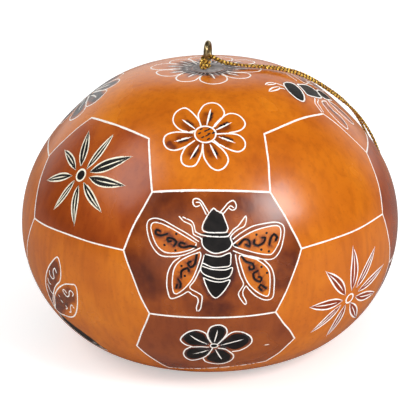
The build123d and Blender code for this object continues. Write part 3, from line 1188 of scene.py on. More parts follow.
def beetle(spot: Spot) -> Motif:
    """The long-bodied insect of the right arm, heading for the crown's front."""
    parts = [
        ((-4.1, 10.3), (-2.7, 9.9), (-2.2, 8.7), (-3.1, 7.2), (-4.4, 6.0), (-6.2, 4.9), (-7.9, 4.4),
         (-8.3, 5.5), (-7.4, 7.5), (-6.0, 9.1)),
        ((-1.6, 8.0), (0.0, 7.2), (1.4, 6.2), (1.7, 4.6), (1.3, 3.2), (-0.5, 2.4), (-2.5, 3.5), (-3.9, 5.0),
         (-3.3, 5.9), (-2.2, 7.1)),
        ((0.3, 2.7), (1.4, 3.5), (2.7, 3.6), (4.2, 2.8), (4.9, 1.3), (4.7, -0.1), (3.7, -0.2), (2.9, 0.3),
         (2.1, 0.7), (1.2, 1.1)),
    ]
    wings = [
        ((-2.4, 1.9), (-3.8, 0.4), (-4.6, -1.2), (-4.9, -3.7), (-4.3, -5.6), (-2.8, -5.3), (-1.6, -3.2),
         (-1.9, -1.3), (-1.2, 0.4), (-0.4, 1.2)),
        ((1.2, 0.6), (0.4, -1.2), (0.3, -3.8), (1.2, -6.2), (2.6, -6.6), (3.3, -4.6), (2.9, -2.2),
         (2.1, -0.4)),
        ((2.0, 6.8), (3.4, 9.0), (5.6, 9.9), (8.4, 9.2), (9.6, 7.6), (8.4, 6.3), (5.6, 5.9), (3.2, 6.0)),
        ((3.4, 5.6), (4.6, 4.8), (5.2, 3.0), (6.9, 1.4), (8.6, 1.3), (9.0, 2.8), (7.4, 4.6), (5.2, 5.4)),
    ]
    lines = [
        ((-5.4, 11.5), (-5.5, 10.7), (-5.5, 9.8)), ((-7.3, 9.7), (-6.9, 9.4), (-6.8, 9.0)),
        ((-3.4, 3.4), (-5.2, 2.8), (-6.1, 1.8), (-6.9, 0.4)),
        ((-2.8, 2.7), (-4.4, 2.4), (-5.3, 1.5), (-6.3, 0.2)),
        ((2.7, 10.8), (1.3, 9.5), (0.6, 8.5)),
    ]
    marks: list[Mark] = []
    for shape in wings:
        vein = (shape[0], shape[len(shape) // 2])
        marks += [Scorch(vein, 1.1, 0.5, shape), Stroke(shape, 0.25, Ends.CLOSED)]
    for shape in parts:
        marks += [Scorch(shape + shape[:1], 0.8, 0.4), *outlined(shape, width=0.34)]
    marks.extend(cuts(lines))
    for club in (Leaf((-5.3, 11.4), (-7.9, 12.2), 1.0, -0.2), Leaf((-6.5, 10.1), (-10.6, 9.9), 1.0, -0.1)):
        for way in (-1, 1):
            marks.append(Stroke(club.side(way), 0.36, Ends.POINTED))
    return Motif(spot, marks)


def shaded_flower(spot: Spot) -> Motif:
    """The flower of the left arm, whose petals are burnt dark from its heart outwards."""
    petals = [
        (((1.2, 0.6), (4.5, 0.2), (7.8, -0.1), (8.9, 1.2), (8.6, 2.8), (7.4, 4.4), (5.9, 5.2), (3.6, 3.6),
          (1.2, 1.6)),
         ((1.9, 0.9), (4.1, 2.0), (6.8, 2.7))),
        (((1.2, 0.2), (4.5, 0.0), (8.0, -0.4), (9.5, -1.8), (9.3, -3.3), (8.2, -4.5), (6.4, -4.7),
          (3.6, -3.4), (1.0, -0.6)),
         ((1.8, -0.3), (4.2, -1.3), (6.6, -2.3))),
        (((1.0, 1.9), (3.3, 3.6), (4.9, 4.9), (5.1, 6.4), (4.4, 7.7), (2.8, 8.3), (1.0, 7.4), (0.2, 4.6),
          (0.2, 2.2)),
         ((0.9, 2.4), (2.0, 4.4), (3.2, 6.2))),
    ]
    for turn in (106.0, 148.0, 190.0, 234.0, 280.0):
        petals.append((petal(ray(turn, 1.0, 8.6), 5.2, 0.58), ray(turn, 1.6, 5.6)))
    marks: list[Mark] = []
    for shape, dash in petals:
        marks += [Scorch(dash, 3.0, 0.95, shape), Stroke(shape, 0.30), Stroke(dash, 0.34, Ends.POINTED)]
    marks.extend(outlined(ring((0.2, 0.5), 0.8, 0.8, 8)))
    return Motif(spot, marks)


def crown_daisy(spot: Spot) -> Motif:
    """The ten-petalled daisy round the stem, in millimetres seen from above, and the ring of black and grey
    streaks in it, whose grey is a painted sheen.
    """
    streaks = 56
    petals = [
        (((-1.1, -4.7), (-1.7, -7.0), (-1.5, -9.3), (0.1, -10.8), (2.0, -10.7), (3.4, -9.4), (3.8, -7.9),
          (3.5, -6.2), (2.6, -4.9)),
         ((0.6, -4.2), (1.3, -8.0))),
        (((-1.6, -6.0), (-2.6, -8.5), (-4.0, -9.3), (-5.6, -9.0), (-6.5, -7.6), (-6.3, -5.7), (-5.2, -3.9)),
         ((-2.8, -4.0), (-4.1, -6.7))),
        (((-4.2, -0.9), (-7.0, -0.7), (-9.6, -0.6), (-10.6, -1.4), (-10.4, -3.0), (-9.2, -4.8),
          (-7.0, -5.3), (-4.6, -2.9)),
         ((-4.6, -2.0), (-7.8, -3.0))),
        (((-4.3, 0.6), (-7.0, 0.0), (-9.5, -0.1), (-11.3, 1.0), (-11.9, 3.0), (-10.5, 4.8), (-8.8, 5.0),
          (-6.0, 3.8), (-4.1, 2.2)),
         ((-5.0, 1.6), (-8.6, 2.4))),
        (((2.8, -4.3), (4.1, -6.6), (6.0, -7.5), (7.8, -7.0), (8.6, -5.5), (8.0, -4.0), (5.6, -3.6),
          (3.7, -3.0)),
         ((3.4, -3.7), (6.2, -5.6))),
        (((4.0, -2.4), (5.2, -3.2), (7.5, -3.3), (9.8, -2.7), (10.8, -1.4), (10.8, 0.5), (9.4, 1.6),
          (7.0, 1.4), (4.3, 0.2)),
         ((4.6, -1.1), (8.2, -0.8))),
        (((4.2, 0.9), (6.0, 1.8), (8.0, 2.8), (9.6, 4.3), (9.8, 6.0), (8.5, 7.2), (6.8, 7.1), (5.3, 6.3),
          (3.8, 4.6), (3.1, 2.9)),
         ((4.1, 2.6), (7.0, 5.6))),
    ]
    for turn in (70.0, 101.0, 133.0):
        petals.append((petal(ray(turn, 4.2, 10.6), 5.0), ray(turn, 4.4, 8.6)))
    marks: list[Mark] = [Scorch(ring((0.0, 0.0), 3.8, 3.8, 16), 3.0, 0.9)]
    for shape, dash in petals:
        marks.append(Scorch(beside(dash, 0.0, 0.6, 0.0), 1.5, 0.5, shape))
        marks += [Stroke(shape, 0.30), Stroke(dash, 0.34, Ends.POINTED)]
    for index in range(streaks):
        turn = 360.0 * index / streaks + 2.0 * math.sin(7.0 * index)
        away = math.radians(turn)
        reach = 6.1 + math.sin(away) + 1.8 * abs(math.cos(away)) + math.sin(4.1 * index)
        # Every other streak is grey: a painted sheen standing in for the varnish's reflection on the burnt
        # black.
        tone = Tone.GREY if index % 2 else Tone.BLACK
        marks.append(Stroke(ray(turn, 3.45, reach), 0.34, Ends.POINTED, tone))
    return Motif(spot, marks)


def smudges(spot: Spot, places: list[tuple[Point, Point, float, float]]) -> Motif:
    """Burnt smudges of a dark panel, each given by both ends, its reach and its strength."""
    return Motif(spot, [Scorch((a, b), reach, strength) for a, b, reach, strength in places])


# The carved rind


class ChartKind(Enum):
    """How a part of the skin is laid flat."""

    PANEL = "panel"
    CROWN = "crown"
    BASE = "base"


@dataclass(frozen=True)
class Chart:
    """Flat coordinates in millimetres for a part of the skin."""

    outline: Outline
    kind: ChartKind
    bearing: float = 0.0
    along: float = 0.0

    def flat(self, bearing: np.ndarray, along: np.ndarray) -> np.ndarray:
        """Lays places of the skin flat.

        Args:
            bearing: degrees round the axis.
            along: lengths from the crown.

        Returns:
            Flat points, one to a row.
        """
        if self.kind is ChartKind.PANEL:
            turn = np.radians(np.mod(bearing - self.bearing + 180.0, 360.0) - 180.0)
            return np.stack([self.outline.at(along)[0] * turn, self.along - along], -1)
        turn = np.radians(bearing)
        if self.kind is ChartKind.CROWN:
            return np.stack([along * np.sin(turn), -along * np.cos(turn)], -1)
        reach = self.outline.total - along
        return np.stack([reach * np.sin(turn), reach * np.cos(turn)], -1)

    def lift(self, flat: np.ndarray) -> tuple[np.ndarray, np.ndarray]:
        """Finds the places of the skin under flat points.

        Args:
            flat: flat points, one to a row.

        Returns:
            Bearings in degrees and lengths from the crown.
        """
        if self.kind is ChartKind.PANEL:
            along = self.along - flat[:, 1]
            return self.bearing + np.degrees(flat[:, 0] / self.outline.at(along)[0]), along
        reach = np.hypot(flat[:, 0], flat[:, 1])
        if self.kind is ChartKind.CROWN:
            return np.degrees(np.arctan2(flat[:, 0], -flat[:, 1])), reach
        return np.degrees(np.arctan2(flat[:, 0], flat[:, 1])), self.outline.total - reach


def lay(outline: Outline, spot: Spot, points: np.ndarray) -> tuple[np.ndarray, np.ndarray]:
    """Lays a motif's own points on the skin.

    Args:
        outline: the gourd's outline.
        spot: the motif's middle, which lies at the crown where its length is zero.
        points: the motif's points, one to a row.

    Returns:
        Bearings in degrees and lengths from the crown.
    """
    turn = math.radians(spot.lean)
    x = -points[:, 0] if spot.flip else points[:, 0]
    y = points[:, 1]
    across = x * math.cos(turn) - y * math.sin(turn)
    turned = np.stack([across, x * math.sin(turn) + y * math.cos(turn)], -1)
    kind = ChartKind.PANEL if spot.along > 0 else ChartKind.CROWN
    return Chart(outline, kind, spot.bearing, spot.along + PATTERN_DROP).lift(turned)


def inside(points: np.ndarray, polygon: np.ndarray) -> np.ndarray:
    """Says which points lie inside a polygon.

    Args:
        points: flat points, one to a row.
        polygon: the polygon's corners in order.

    Returns:
        One truth value for each point.
    """
    result = np.zeros(len(points), bool)
    low, high = polygon.min(0), polygon.max(0)
    near = np.flatnonzero(np.all((points >= low) & (points <= high), axis=1))
    if not len(near):
        return result
    x, y = points[near, 0][:, None], points[near, 1][:, None]
    ax, ay = polygon[:, 0], polygon[:, 1]
    bx, by = np.roll(ax, -1), np.roll(ay, -1)
    rise = np.where(by == ay, 1e-12, by - ay)
    crosses = ((ay > y) != (by > y)) & (x < (bx - ax) * (y - ay) / rise + ax)
    result[near] = crosses.sum(1) % 2 == 1
    return result


def keep_inside(points: np.ndarray, polygon: np.ndarray, margin: float) -> np.ndarray:
    """Moves points that lie outside a polygon, or too near its edge, to just inside it.

    Args:
        points: flat points, one to a row.
        polygon: the polygon's corners, counterclockwise.
        margin: least distance from the edge.

    Returns:
        The points, moved where needed.
    """
    start = polygon
    run = np.roll(polygon, -1, 0) - start
    long = np.maximum((run**2).sum(1), 1e-12)
    offset = points[:, None, :] - start[None]
    share = np.clip((offset * run[None]).sum(2) / long[None], 0.0, 1.0)
    foot = start[None] + share[..., None] * run[None]
    gap = np.linalg.norm(points[:, None, :] - foot, axis=2)
    nearest = gap.argmin(1)
    rows = np.arange(len(points))
    distance = gap[rows, nearest]
    inward = np.stack([-run[:, 1], run[:, 0]], -1) / np.sqrt(long)[:, None]
    moved = foot[rows, nearest] + inward[nearest] * margin
    wrong = ~inside(points, polygon) | (distance < margin)
    return np.where(wrong[:, None], moved, points)


@dataclass
class Cut:
    """A cut line laid on the skin, with its half width at each point."""

    bearing: np.ndarray
    along: np.ndarray
    half: np.ndarray
    closed: bool
    tone: Tone

    def flanks(self, outline: Outline) -> list[tuple[np.ndarray, np.ndarray]]:
        """Bearings and lengths of the cut's left and right edge."""
        middle, out = outline.skin(self.bearing, self.along)
        ahead = np.roll(middle, -1, 0) - middle
        if not self.closed:
            ahead[-1] = middle[-1] - middle[-2]
        ahead /= np.maximum(np.linalg.norm(ahead, axis=1), 1e-9)[:, None]
        behind = np.roll(ahead, 1, 0)
        if not self.closed:
            behind[0] = ahead[0]
        side = np.cross(out, ahead + behind)
        side /= np.maximum(np.linalg.norm(side, axis=1), 1e-9)[:, None]
        lean = (side * np.cross(out, ahead)).sum(1)
        shift = side * (self.half / np.maximum(lean, 0.7))[:, None]
        return [outline.find(middle + shift), outline.find(middle - shift)]

    def samples(self, outline: Outline, step: float) -> tuple[np.ndarray, np.ndarray]:
        """Closely spaced points of the middle line and the half widths there.

        Args:
            outline: the gourd's outline.
            step: greatest distance between points.

        Returns:
            Points, one to a row, and half widths.
        """
        middle = outline.skin(self.bearing, self.along)[0]
        half = self.half
        if self.closed:
            middle = np.vstack([middle, middle[:1]])
            half = np.append(half, half[0])
        lengths = np.linalg.norm(np.diff(middle, axis=0), axis=1)
        travel = np.concatenate([[0.0], np.cumsum(lengths)])
        wanted = np.linspace(0.0, travel[-1], max(2, int(travel[-1] / step) + 2))
        points = np.stack([np.interp(wanted, travel, middle[:, axis]) for axis in range(3)], -1)
        return points, np.interp(wanted, travel, half)


def hand_held(places: np.ndarray) -> np.ndarray:
    """Factors on a cut's width that wander as a hand-held tool does, one for each place."""
    return np.array([1.0 + HAND_WANDER * noise.noise(Vector(place) * HAND_PACE) for place in places])


@dataclass
class Loop:
    """A closed run of border corners: their numbers in the skin, places and half widths."""

    ids: np.ndarray
    bearing: np.ndarray
    along: np.ndarray
    half: np.ndarray

    def reversed(self) -> "Loop":
        """The same loop, run the other way."""
        return Loop(self.ids[::-1], self.bearing[::-1], self.along[::-1], self.half[::-1])


class Skin:
    """Collects the rind's corners and faces before they become one mesh."""

    def __init__(self, surface: Surface) -> None:
        """Starts an empty skin on that surface."""
        self.surface = surface
        self.points: list[np.ndarray] = []
        self.outward: list[np.ndarray] = []
        self.burns: list[np.ndarray] = []
        self.count = 0
        self.faces: list[tuple[int, ...]] = []
        self.tones: list[int] = []
        self.cut: list[bool] = []

    def add(self, points: np.ndarray, outward: np.ndarray, burn: np.ndarray) -> np.ndarray:
        """Adds corners.

        Args:
            points: their places in millimetres.
            outward: their shading directions, zero where the faces decide.
            burn: how burnt each one is.

        Returns:
            Their numbers.
        """
        self.points.append(points)
        self.outward.append(outward)
        self.burns.append(burn)
        self.count += len(points)
        return np.arange(self.count - len(points), self.count)

    def add_on(
        self, bearing: np.ndarray, along: np.ndarray, depth: np.ndarray, burn: np.ndarray
    ) -> np.ndarray:
        """Adds corners that lie on the surface or a depth below it, and gives their numbers."""
        place, out = self.surface.place(bearing, along)
        return self.add(place - out * depth[:, None], out, burn)

    def add_face(self, corners: tuple[int, ...], tone: Tone, cut: bool = False) -> None:
        """Adds a face; a cut one is shaded flat."""
        self.faces.append(corners)
        self.tones.append(int(tone))
        self.cut.append(cut)

    def revolve(
        self, ring_ids: np.ndarray, rows: list[tuple[float, float]], tone: Tone, flip: bool = False
    ) -> np.ndarray:
        """Continues the skin from a ring of corners through rings about the axis.

        Args:
            ring_ids: the ring to start from.
            rows: radius and height of each further ring; a last radius of zero closes it.
            tone: what the faces show.
            flip: whether the faces turn the other way.

        Returns:
            The numbers of the last ring.
        """
        start = np.vstack(self.points)[ring_ids]
        turn = np.arctan2(start[:, 1], start[:, 0])
        count = len(ring_ids)
        for radius, height in rows:
            if radius > 0:
                places = np.stack([radius * np.cos(turn), radius * np.sin(turn), np.full(count, height)], -1)
            else:
                places = np.array([[0.0, 0.0, height]])
            fresh = self.add(places, np.zeros_like(places), np.zeros(len(places)))
            for index in range(count):
                after = (index + 1) % count
                ahead = (fresh[after], fresh[index]) if radius > 0 else (fresh[0],)
                corners = tuple(int(c) for c in (ring_ids[index], ring_ids[after], *ahead))
                self.add_face(corners[::-1] if flip else corners, tone)
            ring_ids = fresh
        return ring_ids

    def mesh(self, name: str) -> bpy.types.Mesh:
        """Makes one mesh of everything added.

        Args:
            name: the mesh's name.

        Returns:
            The mesh, in metres.
        """
        points = np.vstack(self.points)
        outward = np.vstack(self.outward)
        result = bpy.data.meshes.new(name)
        result.from_pydata((points * MM).tolist(), [], self.faces)
        result.polygons.foreach_set("material_index", self.tones)
        result.polygons.foreach_set("use_smooth", [True] * len(self.faces))
        burn = result.attributes.new(BURN, "FLOAT", "POINT")
        burn.data.foreach_set("value", np.concatenate(self.burns).astype(np.float32))
        loops = np.zeros(len(result.loops), np.int32)
        result.loops.foreach_get("vertex_index", loops)
        sizes = np.array([len(face) for face in self.faces])
        flat = np.zeros(3 * len(self.faces), np.float32)
        result.polygons.foreach_get("normal", flat)
        per_loop = np.repeat(flat.reshape(-1, 3), sizes, axis=0).astype(float)
        loose = np.linalg.norm(outward, axis=1) < 0.5
        gathered = np.zeros_like(outward)
        np.add.at(gathered, loops, per_loop)
        gathered /= np.maximum(np.linalg.norm(gathered, axis=1), 1e-9)[:, None]
        shading = np.where(loose[:, None], gathered, outward)[loops]
        cut = np.repeat(np.array(self.cut), sizes)
        shading[cut] = per_loop[cut]
        result.normals_split_custom_set(shading.tolist())
        return result


Corner = tuple[str, int, int]


class Honeycomb:
    """The borders between the panels.

    Corners are named by their ring, from A at the top to F near the foot, by the bearing of
    the column that they belong to, and by the side of it that they lie on.
    """

    step = 0.8
    half_width = 0.16
    plain_half = 0.145
    wander = 0.13
    seed = 7
    half_widths = {"AA": 0.20, "AB": 0.18, "BB": 0.21, "BC": 0.18, "DD": 0.17, "FF": 0.12}
    bows = {"BB": 0.12, "FF": 0.9}
    faint = ((-65.5, -74.5), (64.2, 71.9))
    faint_half = 0.12
    rings = {
        "A": (19.3, 27.7), "B": (19.0, 39.3), "C": (25.6, 51.2),
        "D": (17.9, 63.3), "E": (24.8, 72.2), "F": (17.5, 80.6),
    }
    read = {
        ("A", -45, -1): (-65.5, 27.6), ("A", -45, 1): (-26.4, 28.3),
        ("A", 45, -1): (24.1, 27.4), ("A", 45, 1): (64.2, 27.1),
        ("B", 0, -1): (-19.2, 39.2), ("B", 0, 1): (19.25, 39.6),
        ("B", -90, 1): (-74.5, 39.3), ("B", 90, -1): (71.9, 39.0),
        ("C", 0, -1): (-25.4, 50.9), ("C", 0, 1): (25.9, 51.2),
        ("C", -90, 1): (-65.3, 51.3), ("C", 90, -1): (62.6, 50.9),
        ("D", 0, -1): (-17.8, 63.1), ("D", 0, 1): (17.8, 63.3),
        ("D", -90, 1): (-74.2, 63.0), ("D", 90, -1): (68.1, 62.9),
        ("E", 0, -1): (-24.4, 72.8), ("E", 0, 1): (25.9, 71.5),
        ("F", 0, -1): (-16.8, 81.5), ("F", 0, 1): (19.0, 79.0),
    }

    def __init__(self, outline: Outline, skin: Skin) -> None:
        """Starts the borders of that skin, with a fixed seed for the way they wander."""
        noise.seed_set(self.seed)
        self.outline = outline
        self.skin = skin
        self.corner_ids: dict[Corner, int] = {}
        self.lines: dict[tuple[Corner, Corner], Loop] = {}

    def spot(self, corner: Corner) -> tuple[float, float]:
        """Bearing and length from the crown of a corner."""
        name, column, side = corner
        aside, along = self.rings[name]
        bearing, along = self.read.get(corner, (column + side * aside, along))
        return bearing, along + PATTERN_DROP

    def number(self, corner: Corner) -> int:
        """The corner's number in the skin, added when first asked for."""
        if corner not in self.corner_ids:
            bearing, along = self.spot(corner)
            depth = np.array([Region.groove_share * self.half_width])
            ids = self.skin.add_on(np.array([bearing]), np.array([along]), depth, np.zeros(1))
            self.corner_ids[corner] = int(ids[0])
        return self.corner_ids[corner]

    def line(self, first: Corner, last: Corner) -> Loop:
        """The border from one corner to another, without its last corner.

        Args:
            first: where it starts.
            last: where it ends.

        Returns:
            The run of corners.
        """
        if (first, last) not in self.lines:
            self.make(first, last)
        return self.lines[(first, last)]

    def make(self, first: Corner, last: Corner) -> None:
        """Lays the border between two corners, for use both ways."""
        ends = np.array([self.spot(first), self.spot(last)])
        start, end = self.outline.skin(ends[:, 0], ends[:, 1])[0]
        pieces = max(2, round(float(np.linalg.norm(end - start)) / self.step))
        share = np.linspace(0.0, 1.0, pieces + 1)[:, None]
        points = start + (end - start) * share
        seed = Vector(start + end) * 0.05
        slips = [noise.noise_vector(seed + Vector((0, 0, float(part) * 2.2))) for part in share[:, 0]]
        names = "".join(sorted(first[0] + last[0]))
        points += np.array(slips) * self.wander * 2.0 * np.sin(math.pi * share)
        bearing, along = self.outline.find(points)
        along -= self.bows.get(names, 0.0) * 4.0 * share[:, 0] * (1.0 - share[:, 0])
        wide = self.half_widths.get(names, self.plain_half)
        if tuple(ends[:, 0]) in self.faint or tuple(ends[::-1, 0]) in self.faint:
            wide = self.faint_half
        half = wide * hand_held(points)
        half[0] = half[-1] = self.half_width
        depth = Region.groove_share * half[1:-1]
        fresh = self.skin.add_on(bearing[1:-1], along[1:-1], depth, np.zeros(pieces - 1))
        ids = np.concatenate([[self.number(first)], fresh, [self.number(last)]])
        there = Loop(ids, bearing, along, half)
        back = there.reversed()
        for pair, run in (((first, last), there), ((last, first), back)):
            self.lines[pair] = Loop(run.ids[:-1], run.bearing[:-1], run.along[:-1], run.half[:-1])

    def loop(self, corners: list[Corner]) -> Loop:
        """The closed loop through corners.

        Args:
            corners: the corners in order.

        Returns:
            The loop.
        """
        runs = [self.line(a, b) for a, b in zip(corners, corners[1:] + corners[:1])]
        names = ("ids", "bearing", "along", "half")
        return Loop(*(np.concatenate([getattr(run, name) for run in runs]) for name in names))

    @staticmethod
    def column(bearing: int) -> int:
        """A column's bearing brought into -90..180."""
        turned = bearing % 360
        return turned - 360 if turned > 180 else turned

    def cap(self) -> list[Corner]:
        """Corners round the crown field with its four arms."""
        corners: list[Corner] = []
        for even in (-90, 0, 90, 180):
            odd = self.column(even + 45)
            corners += [("B", even, -1), ("B", even, 1), ("A", odd, -1), ("A", odd, 1)]
        return corners

    def upper(self, odd: int) -> list[Corner]:
        """Corners round the upper panel of a slanting column."""
        left, right = self.column(odd - 45), self.column(odd + 45)
        lower = [("C", left, 1), ("C", right, -1), ("B", right, -1)]
        return lower + [("A", odd, 1), ("A", odd, -1), ("B", left, 1)]

    @staticmethod
    def panel(even: int, low: str, wide: str, high: str) -> list[Corner]:
        """Corners round a panel of a main column, on its lower, its widest and its upper ring."""
        rings = ((low, -1), (low, 1), (wide, 1), (high, 1), (high, -1), (wide, -1))
        return [(name, even, side) for name, side in rings]

    def base(self) -> list[Corner]:
        """Corners round the base field with its four arms."""
        corners: list[Corner] = []
        for even in (180, 90, 0, -90):
            corners += [(name, even, 1) for name in "CDEF"]
            corners += [(name, even, -1) for name in "FEDC"]
        return corners


class Region:
    """One panel or field of the rind, cut into faces along every mark on it."""

    coarse = 1.25
    fine = 0.42
    clear_share = 0.42
    groove_share = 0.45
    deepest = 0.25
    mark_margin = 0.42
    edge_margin = 0.06
    sample_step = 0.08
    tolerance = 0.003
    scorch_step = 0.4
    bounds_step = 0.5
    round_reach = 0.45
    round_half = 0.03
    point_share = 0.12
    point_rise = 4.4
    scorched = 0.02

    def __init__(
        self, chart: Chart, tone: Tone, loop: Loop, motifs: list[Motif], hole: Loop | None = None
    ) -> None:
        """Takes the region's chart, ground tone, border, marks and round hole."""
        self.chart = chart
        self.outline = chart.outline
        self.tone = tone
        self.loop = loop
        flat = chart.flat(loop.bearing, loop.along)
        turned = flat[:, 0] * np.roll(flat[:, 1], -1) - np.roll(flat[:, 0], -1) * flat[:, 1]
        if turned.sum() < 0:
            self.loop = loop.reversed()
            flat = flat[::-1]
        self.border = flat
        self.hole = hole
        self.hole_flat = None if hole is None else chart.flat(hole.bearing, hole.along)
        self.cuts: list[Cut] = []
        self.fills: list[tuple[np.ndarray, Tone]] = []
        self.scorches: list[tuple[np.ndarray, Scorch, np.ndarray | None]] = []
        for motif in motifs:
            for mark in motif.marks:
                self.take(mark, motif.spot)

    def take(self, mark: Mark, spot: Spot) -> None:
        """Lays one mark on the skin.

        Args:
            mark: the mark.
            spot: its motif's middle.
        """
        if isinstance(mark, Scorch):
            line = curve_through(mark.points, False, self.scorch_step)
            bounds = None
            if mark.outline:
                shape = curve_through(mark.outline, True, self.bounds_step)
                bounds = self.chart.flat(*lay(self.outline, spot, shape))
            self.scorches.append((self.outline.skin(*lay(self.outline, spot, line))[0], mark, bounds))
            return
        closed = isinstance(mark, Fill) or mark.ends is Ends.CLOSED
        flat = curve_through(mark.points, closed, mark.step)
        if isinstance(mark, Stroke) and mark.ends is Ends.ROUND:
            for end, inner in ((0, 1), (-1, -2)):
                away = flat[end] - flat[inner]
                tip = flat[end] + away / max(np.hypot(*away), 1e-6) * mark.width * self.round_reach
                flat = np.vstack([tip, flat]) if end == 0 else np.vstack([flat, tip])
        laid = self.chart.flat(*lay(self.outline, spot, flat))
        laid = keep_inside(laid, self.border, self.mark_margin)
        if isinstance(mark, Fill):
            self.fills.append((laid, mark.tone))
            return
        bearing, along = self.chart.lift(laid)
        half = np.full(len(flat), mark.width / 2) * hand_held(self.outline.skin(bearing, along)[0])
        if mark.ends is Ends.ROUND:
            half[0] = half[-1] = self.round_half
        if mark.ends is Ends.POINTED:
            share = np.linspace(0.0, 1.0, len(flat))
            half = half * np.minimum(1.0, self.point_share + self.point_rise * share * (1.0 - share))
        self.cuts.append(Cut(bearing, along, half, closed, mark.tone))

    def rim(self) -> Cut:
        """The cut that runs along the region's border."""
        return Cut(self.loop.bearing, self.loop.along, self.loop.half, True, Tone.WHITE)

    def outlines(self) -> tuple[np.ndarray, list[tuple[int, int]]]:
        """Every fixed point and edge of the region.

        Returns:
            Flat points, the border's first and the hole's next, and pairs of their numbers.
        """
        points = [self.border]
        edges: list[tuple[int, int]] = []
        count = 0

        def run(number: int, closed: bool) -> None:
            """Joins the newest points in a row."""
            nonlocal count
            last = number if closed else number - 1
            edges.extend((count + i, count + (i + 1) % number) for i in range(last))
            count += number

        run(len(self.border), True)
        if self.hole_flat is not None:
            points.append(self.hole_flat)
            run(len(self.hole_flat), True)
        points.append(self.chart.flat(*self.rim().flanks(self.outline)[0]))
        run(len(points[-1]), True)
        for cut in self.cuts:
            lines = [(cut.bearing, cut.along), *cut.flanks(self.outline)]
            for line in lines:
                points.append(keep_inside(self.chart.flat(*line), self.border, self.edge_margin))
                run(len(points[-1]), cut.closed)
        for shape, _ in self.fills:
            points.append(shape)
            run(len(shape), True)
        return np.vstack(points), edges

    def grid(self, fixed: np.ndarray) -> np.ndarray:
        """Points spread over the ground, closer where it is scorched.

        Args:
            fixed: the points of the outlines, which it keeps clear of.

        Returns:
            Flat points, one to a row.
        """
        tree = KDTree(len(fixed))
        for index, (x, y) in enumerate(fixed):
            tree.insert((x, y, 0.0), index)
        tree.balance()
        low, high = self.border.min(0), self.border.max(0)
        kept = []
        for spacing, fine in ((self.fine, True), (self.coarse, False)):
            if fine and not self.scorches:
                continue
            rows = np.arange(low[1], high[1], spacing * math.sqrt(3) / 2)
            columns = np.arange(low[0], high[0], spacing)
            x, y = np.meshgrid(columns, rows)
            x = x + (np.arange(len(rows)) % 2)[:, None] * spacing / 2
            points = np.stack([x.ravel(), y.ravel()], -1)
            points = points[inside(points, self.border)]
            if self.hole_flat is not None:
                points = points[~inside(points, self.hole_flat)]
            burnt = self.burn(points) > self.scorched if self.scorches else np.zeros(len(points), bool)
            points = points[burnt == fine]
            clear = spacing * self.clear_share
            kept += [(x, y) for x, y in points if tree.find((x, y, 0.0))[2] > clear]
        return np.array(kept).reshape(-1, 2)

    def burn(self, flat: np.ndarray) -> np.ndarray:
        """How burnt the ground is at flat points."""
        burn = np.zeros(len(flat))
        if not len(flat):
            return burn
        places = self.outline.skin(*self.chart.lift(flat))[0]
        for line, scorch, bounds in self.scorches:
            near = (places > line.min(0) - scorch.reach) & (places < line.max(0) + scorch.reach)
            near = np.flatnonzero(near.all(1))
            if not len(near):
                continue
            gap = np.linalg.norm(places[near][:, None] - line[None], axis=2).min(1)
            fade = np.clip(1.0 - gap / scorch.reach, 0.0, 1.0)
            value = scorch.strength * np.minimum(1.0, 1.5 * fade * fade * (3 - 2 * fade))
            if bounds is not None:
                value = np.where(inside(flat[near], bounds), value, 0.0)
            burn[near] = np.maximum(burn[near], value)
        return burn

    def build(self, skin: Skin) -> None:
        """Cuts the region into faces and adds them to the skin."""
        fixed, edges = self.outlines()
        points = np.vstack([fixed, self.grid(fixed)])
        made = delaunay_2d_cdt([Vector((x, y)) for x, y in points], edges, [], 0, self.tolerance, True)
        flat = np.array([tuple(vertex) for vertex in made[0]])
        known: dict[int, int] = {}
        numbers = self.loop.ids if self.hole is None else np.concatenate([self.loop.ids, self.hole.ids])
        for index, sources in enumerate(made[3]):
            shared = [source for source in sources if source < len(numbers)]
            if shared:
                known[index] = int(numbers[shared[0]])
        triangles = np.array(made[2])
        middles = flat[triangles].mean(1)
        kept = inside(middles, self.border)
        if self.hole_flat is not None:
            kept &= ~inside(middles, self.hole_flat)
        triangles, middles = triangles[kept], middles[kept]
        tree, halves, tones = self.cut_tree()
        fresh = np.array(sorted(set(triangles.ravel().tolist()) - set(known)), int)
        bearing, along = self.chart.lift(flat[fresh])
        places = self.outline.skin(bearing, along)[0]
        reach = float(halves.max())
        depth = np.zeros(len(fresh))
        for index, place in enumerate(places):
            for _, sample, gap in tree.find_range(place, reach):
                drop = min(self.groove_share * halves[sample], self.deepest) * (1.0 - gap / halves[sample])
                depth[index] = max(depth[index], drop)
        ids = skin.add_on(bearing, along, depth, self.burn(flat[fresh]))
        known.update(zip(fresh.tolist(), ids.tolist()))
        tone = np.full(len(triangles), int(self.tone))
        for shape, shade in self.fills:
            tone[inside(middles, shape)] = int(shade)
        centres = self.outline.skin(*self.chart.lift(middles))[0]
        for index, corners in enumerate(triangles):
            cut = False
            for _, sample, gap in tree.find_range(centres[index], reach):
                if gap < halves[sample]:
                    tone[index] = tones[sample]
                    cut = True
            skin.add_face(tuple(known[int(c)] for c in corners), Tone(int(tone[index])), cut)

    def cut_tree(self) -> tuple[KDTree, np.ndarray, np.ndarray]:
        """A search tree over closely spaced points of every cut and of the border.

        Returns:
            The tree, and the half width and tone at each of its points.
        """
        points, halves, tones = [], [], []
        for cut in [self.rim(), *self.cuts]:
            places, half = cut.samples(self.outline, self.sample_step)
            points.append(places)
            halves.append(half)
            tones.append(np.full(len(half), int(cut.tone)))
        places = np.vstack(points)
        tree = KDTree(len(places))
        for index, place in enumerate(places):
            tree.insert(place, index)
        tree.balance()
        return tree, np.concatenate(halves), np.concatenate(tones)


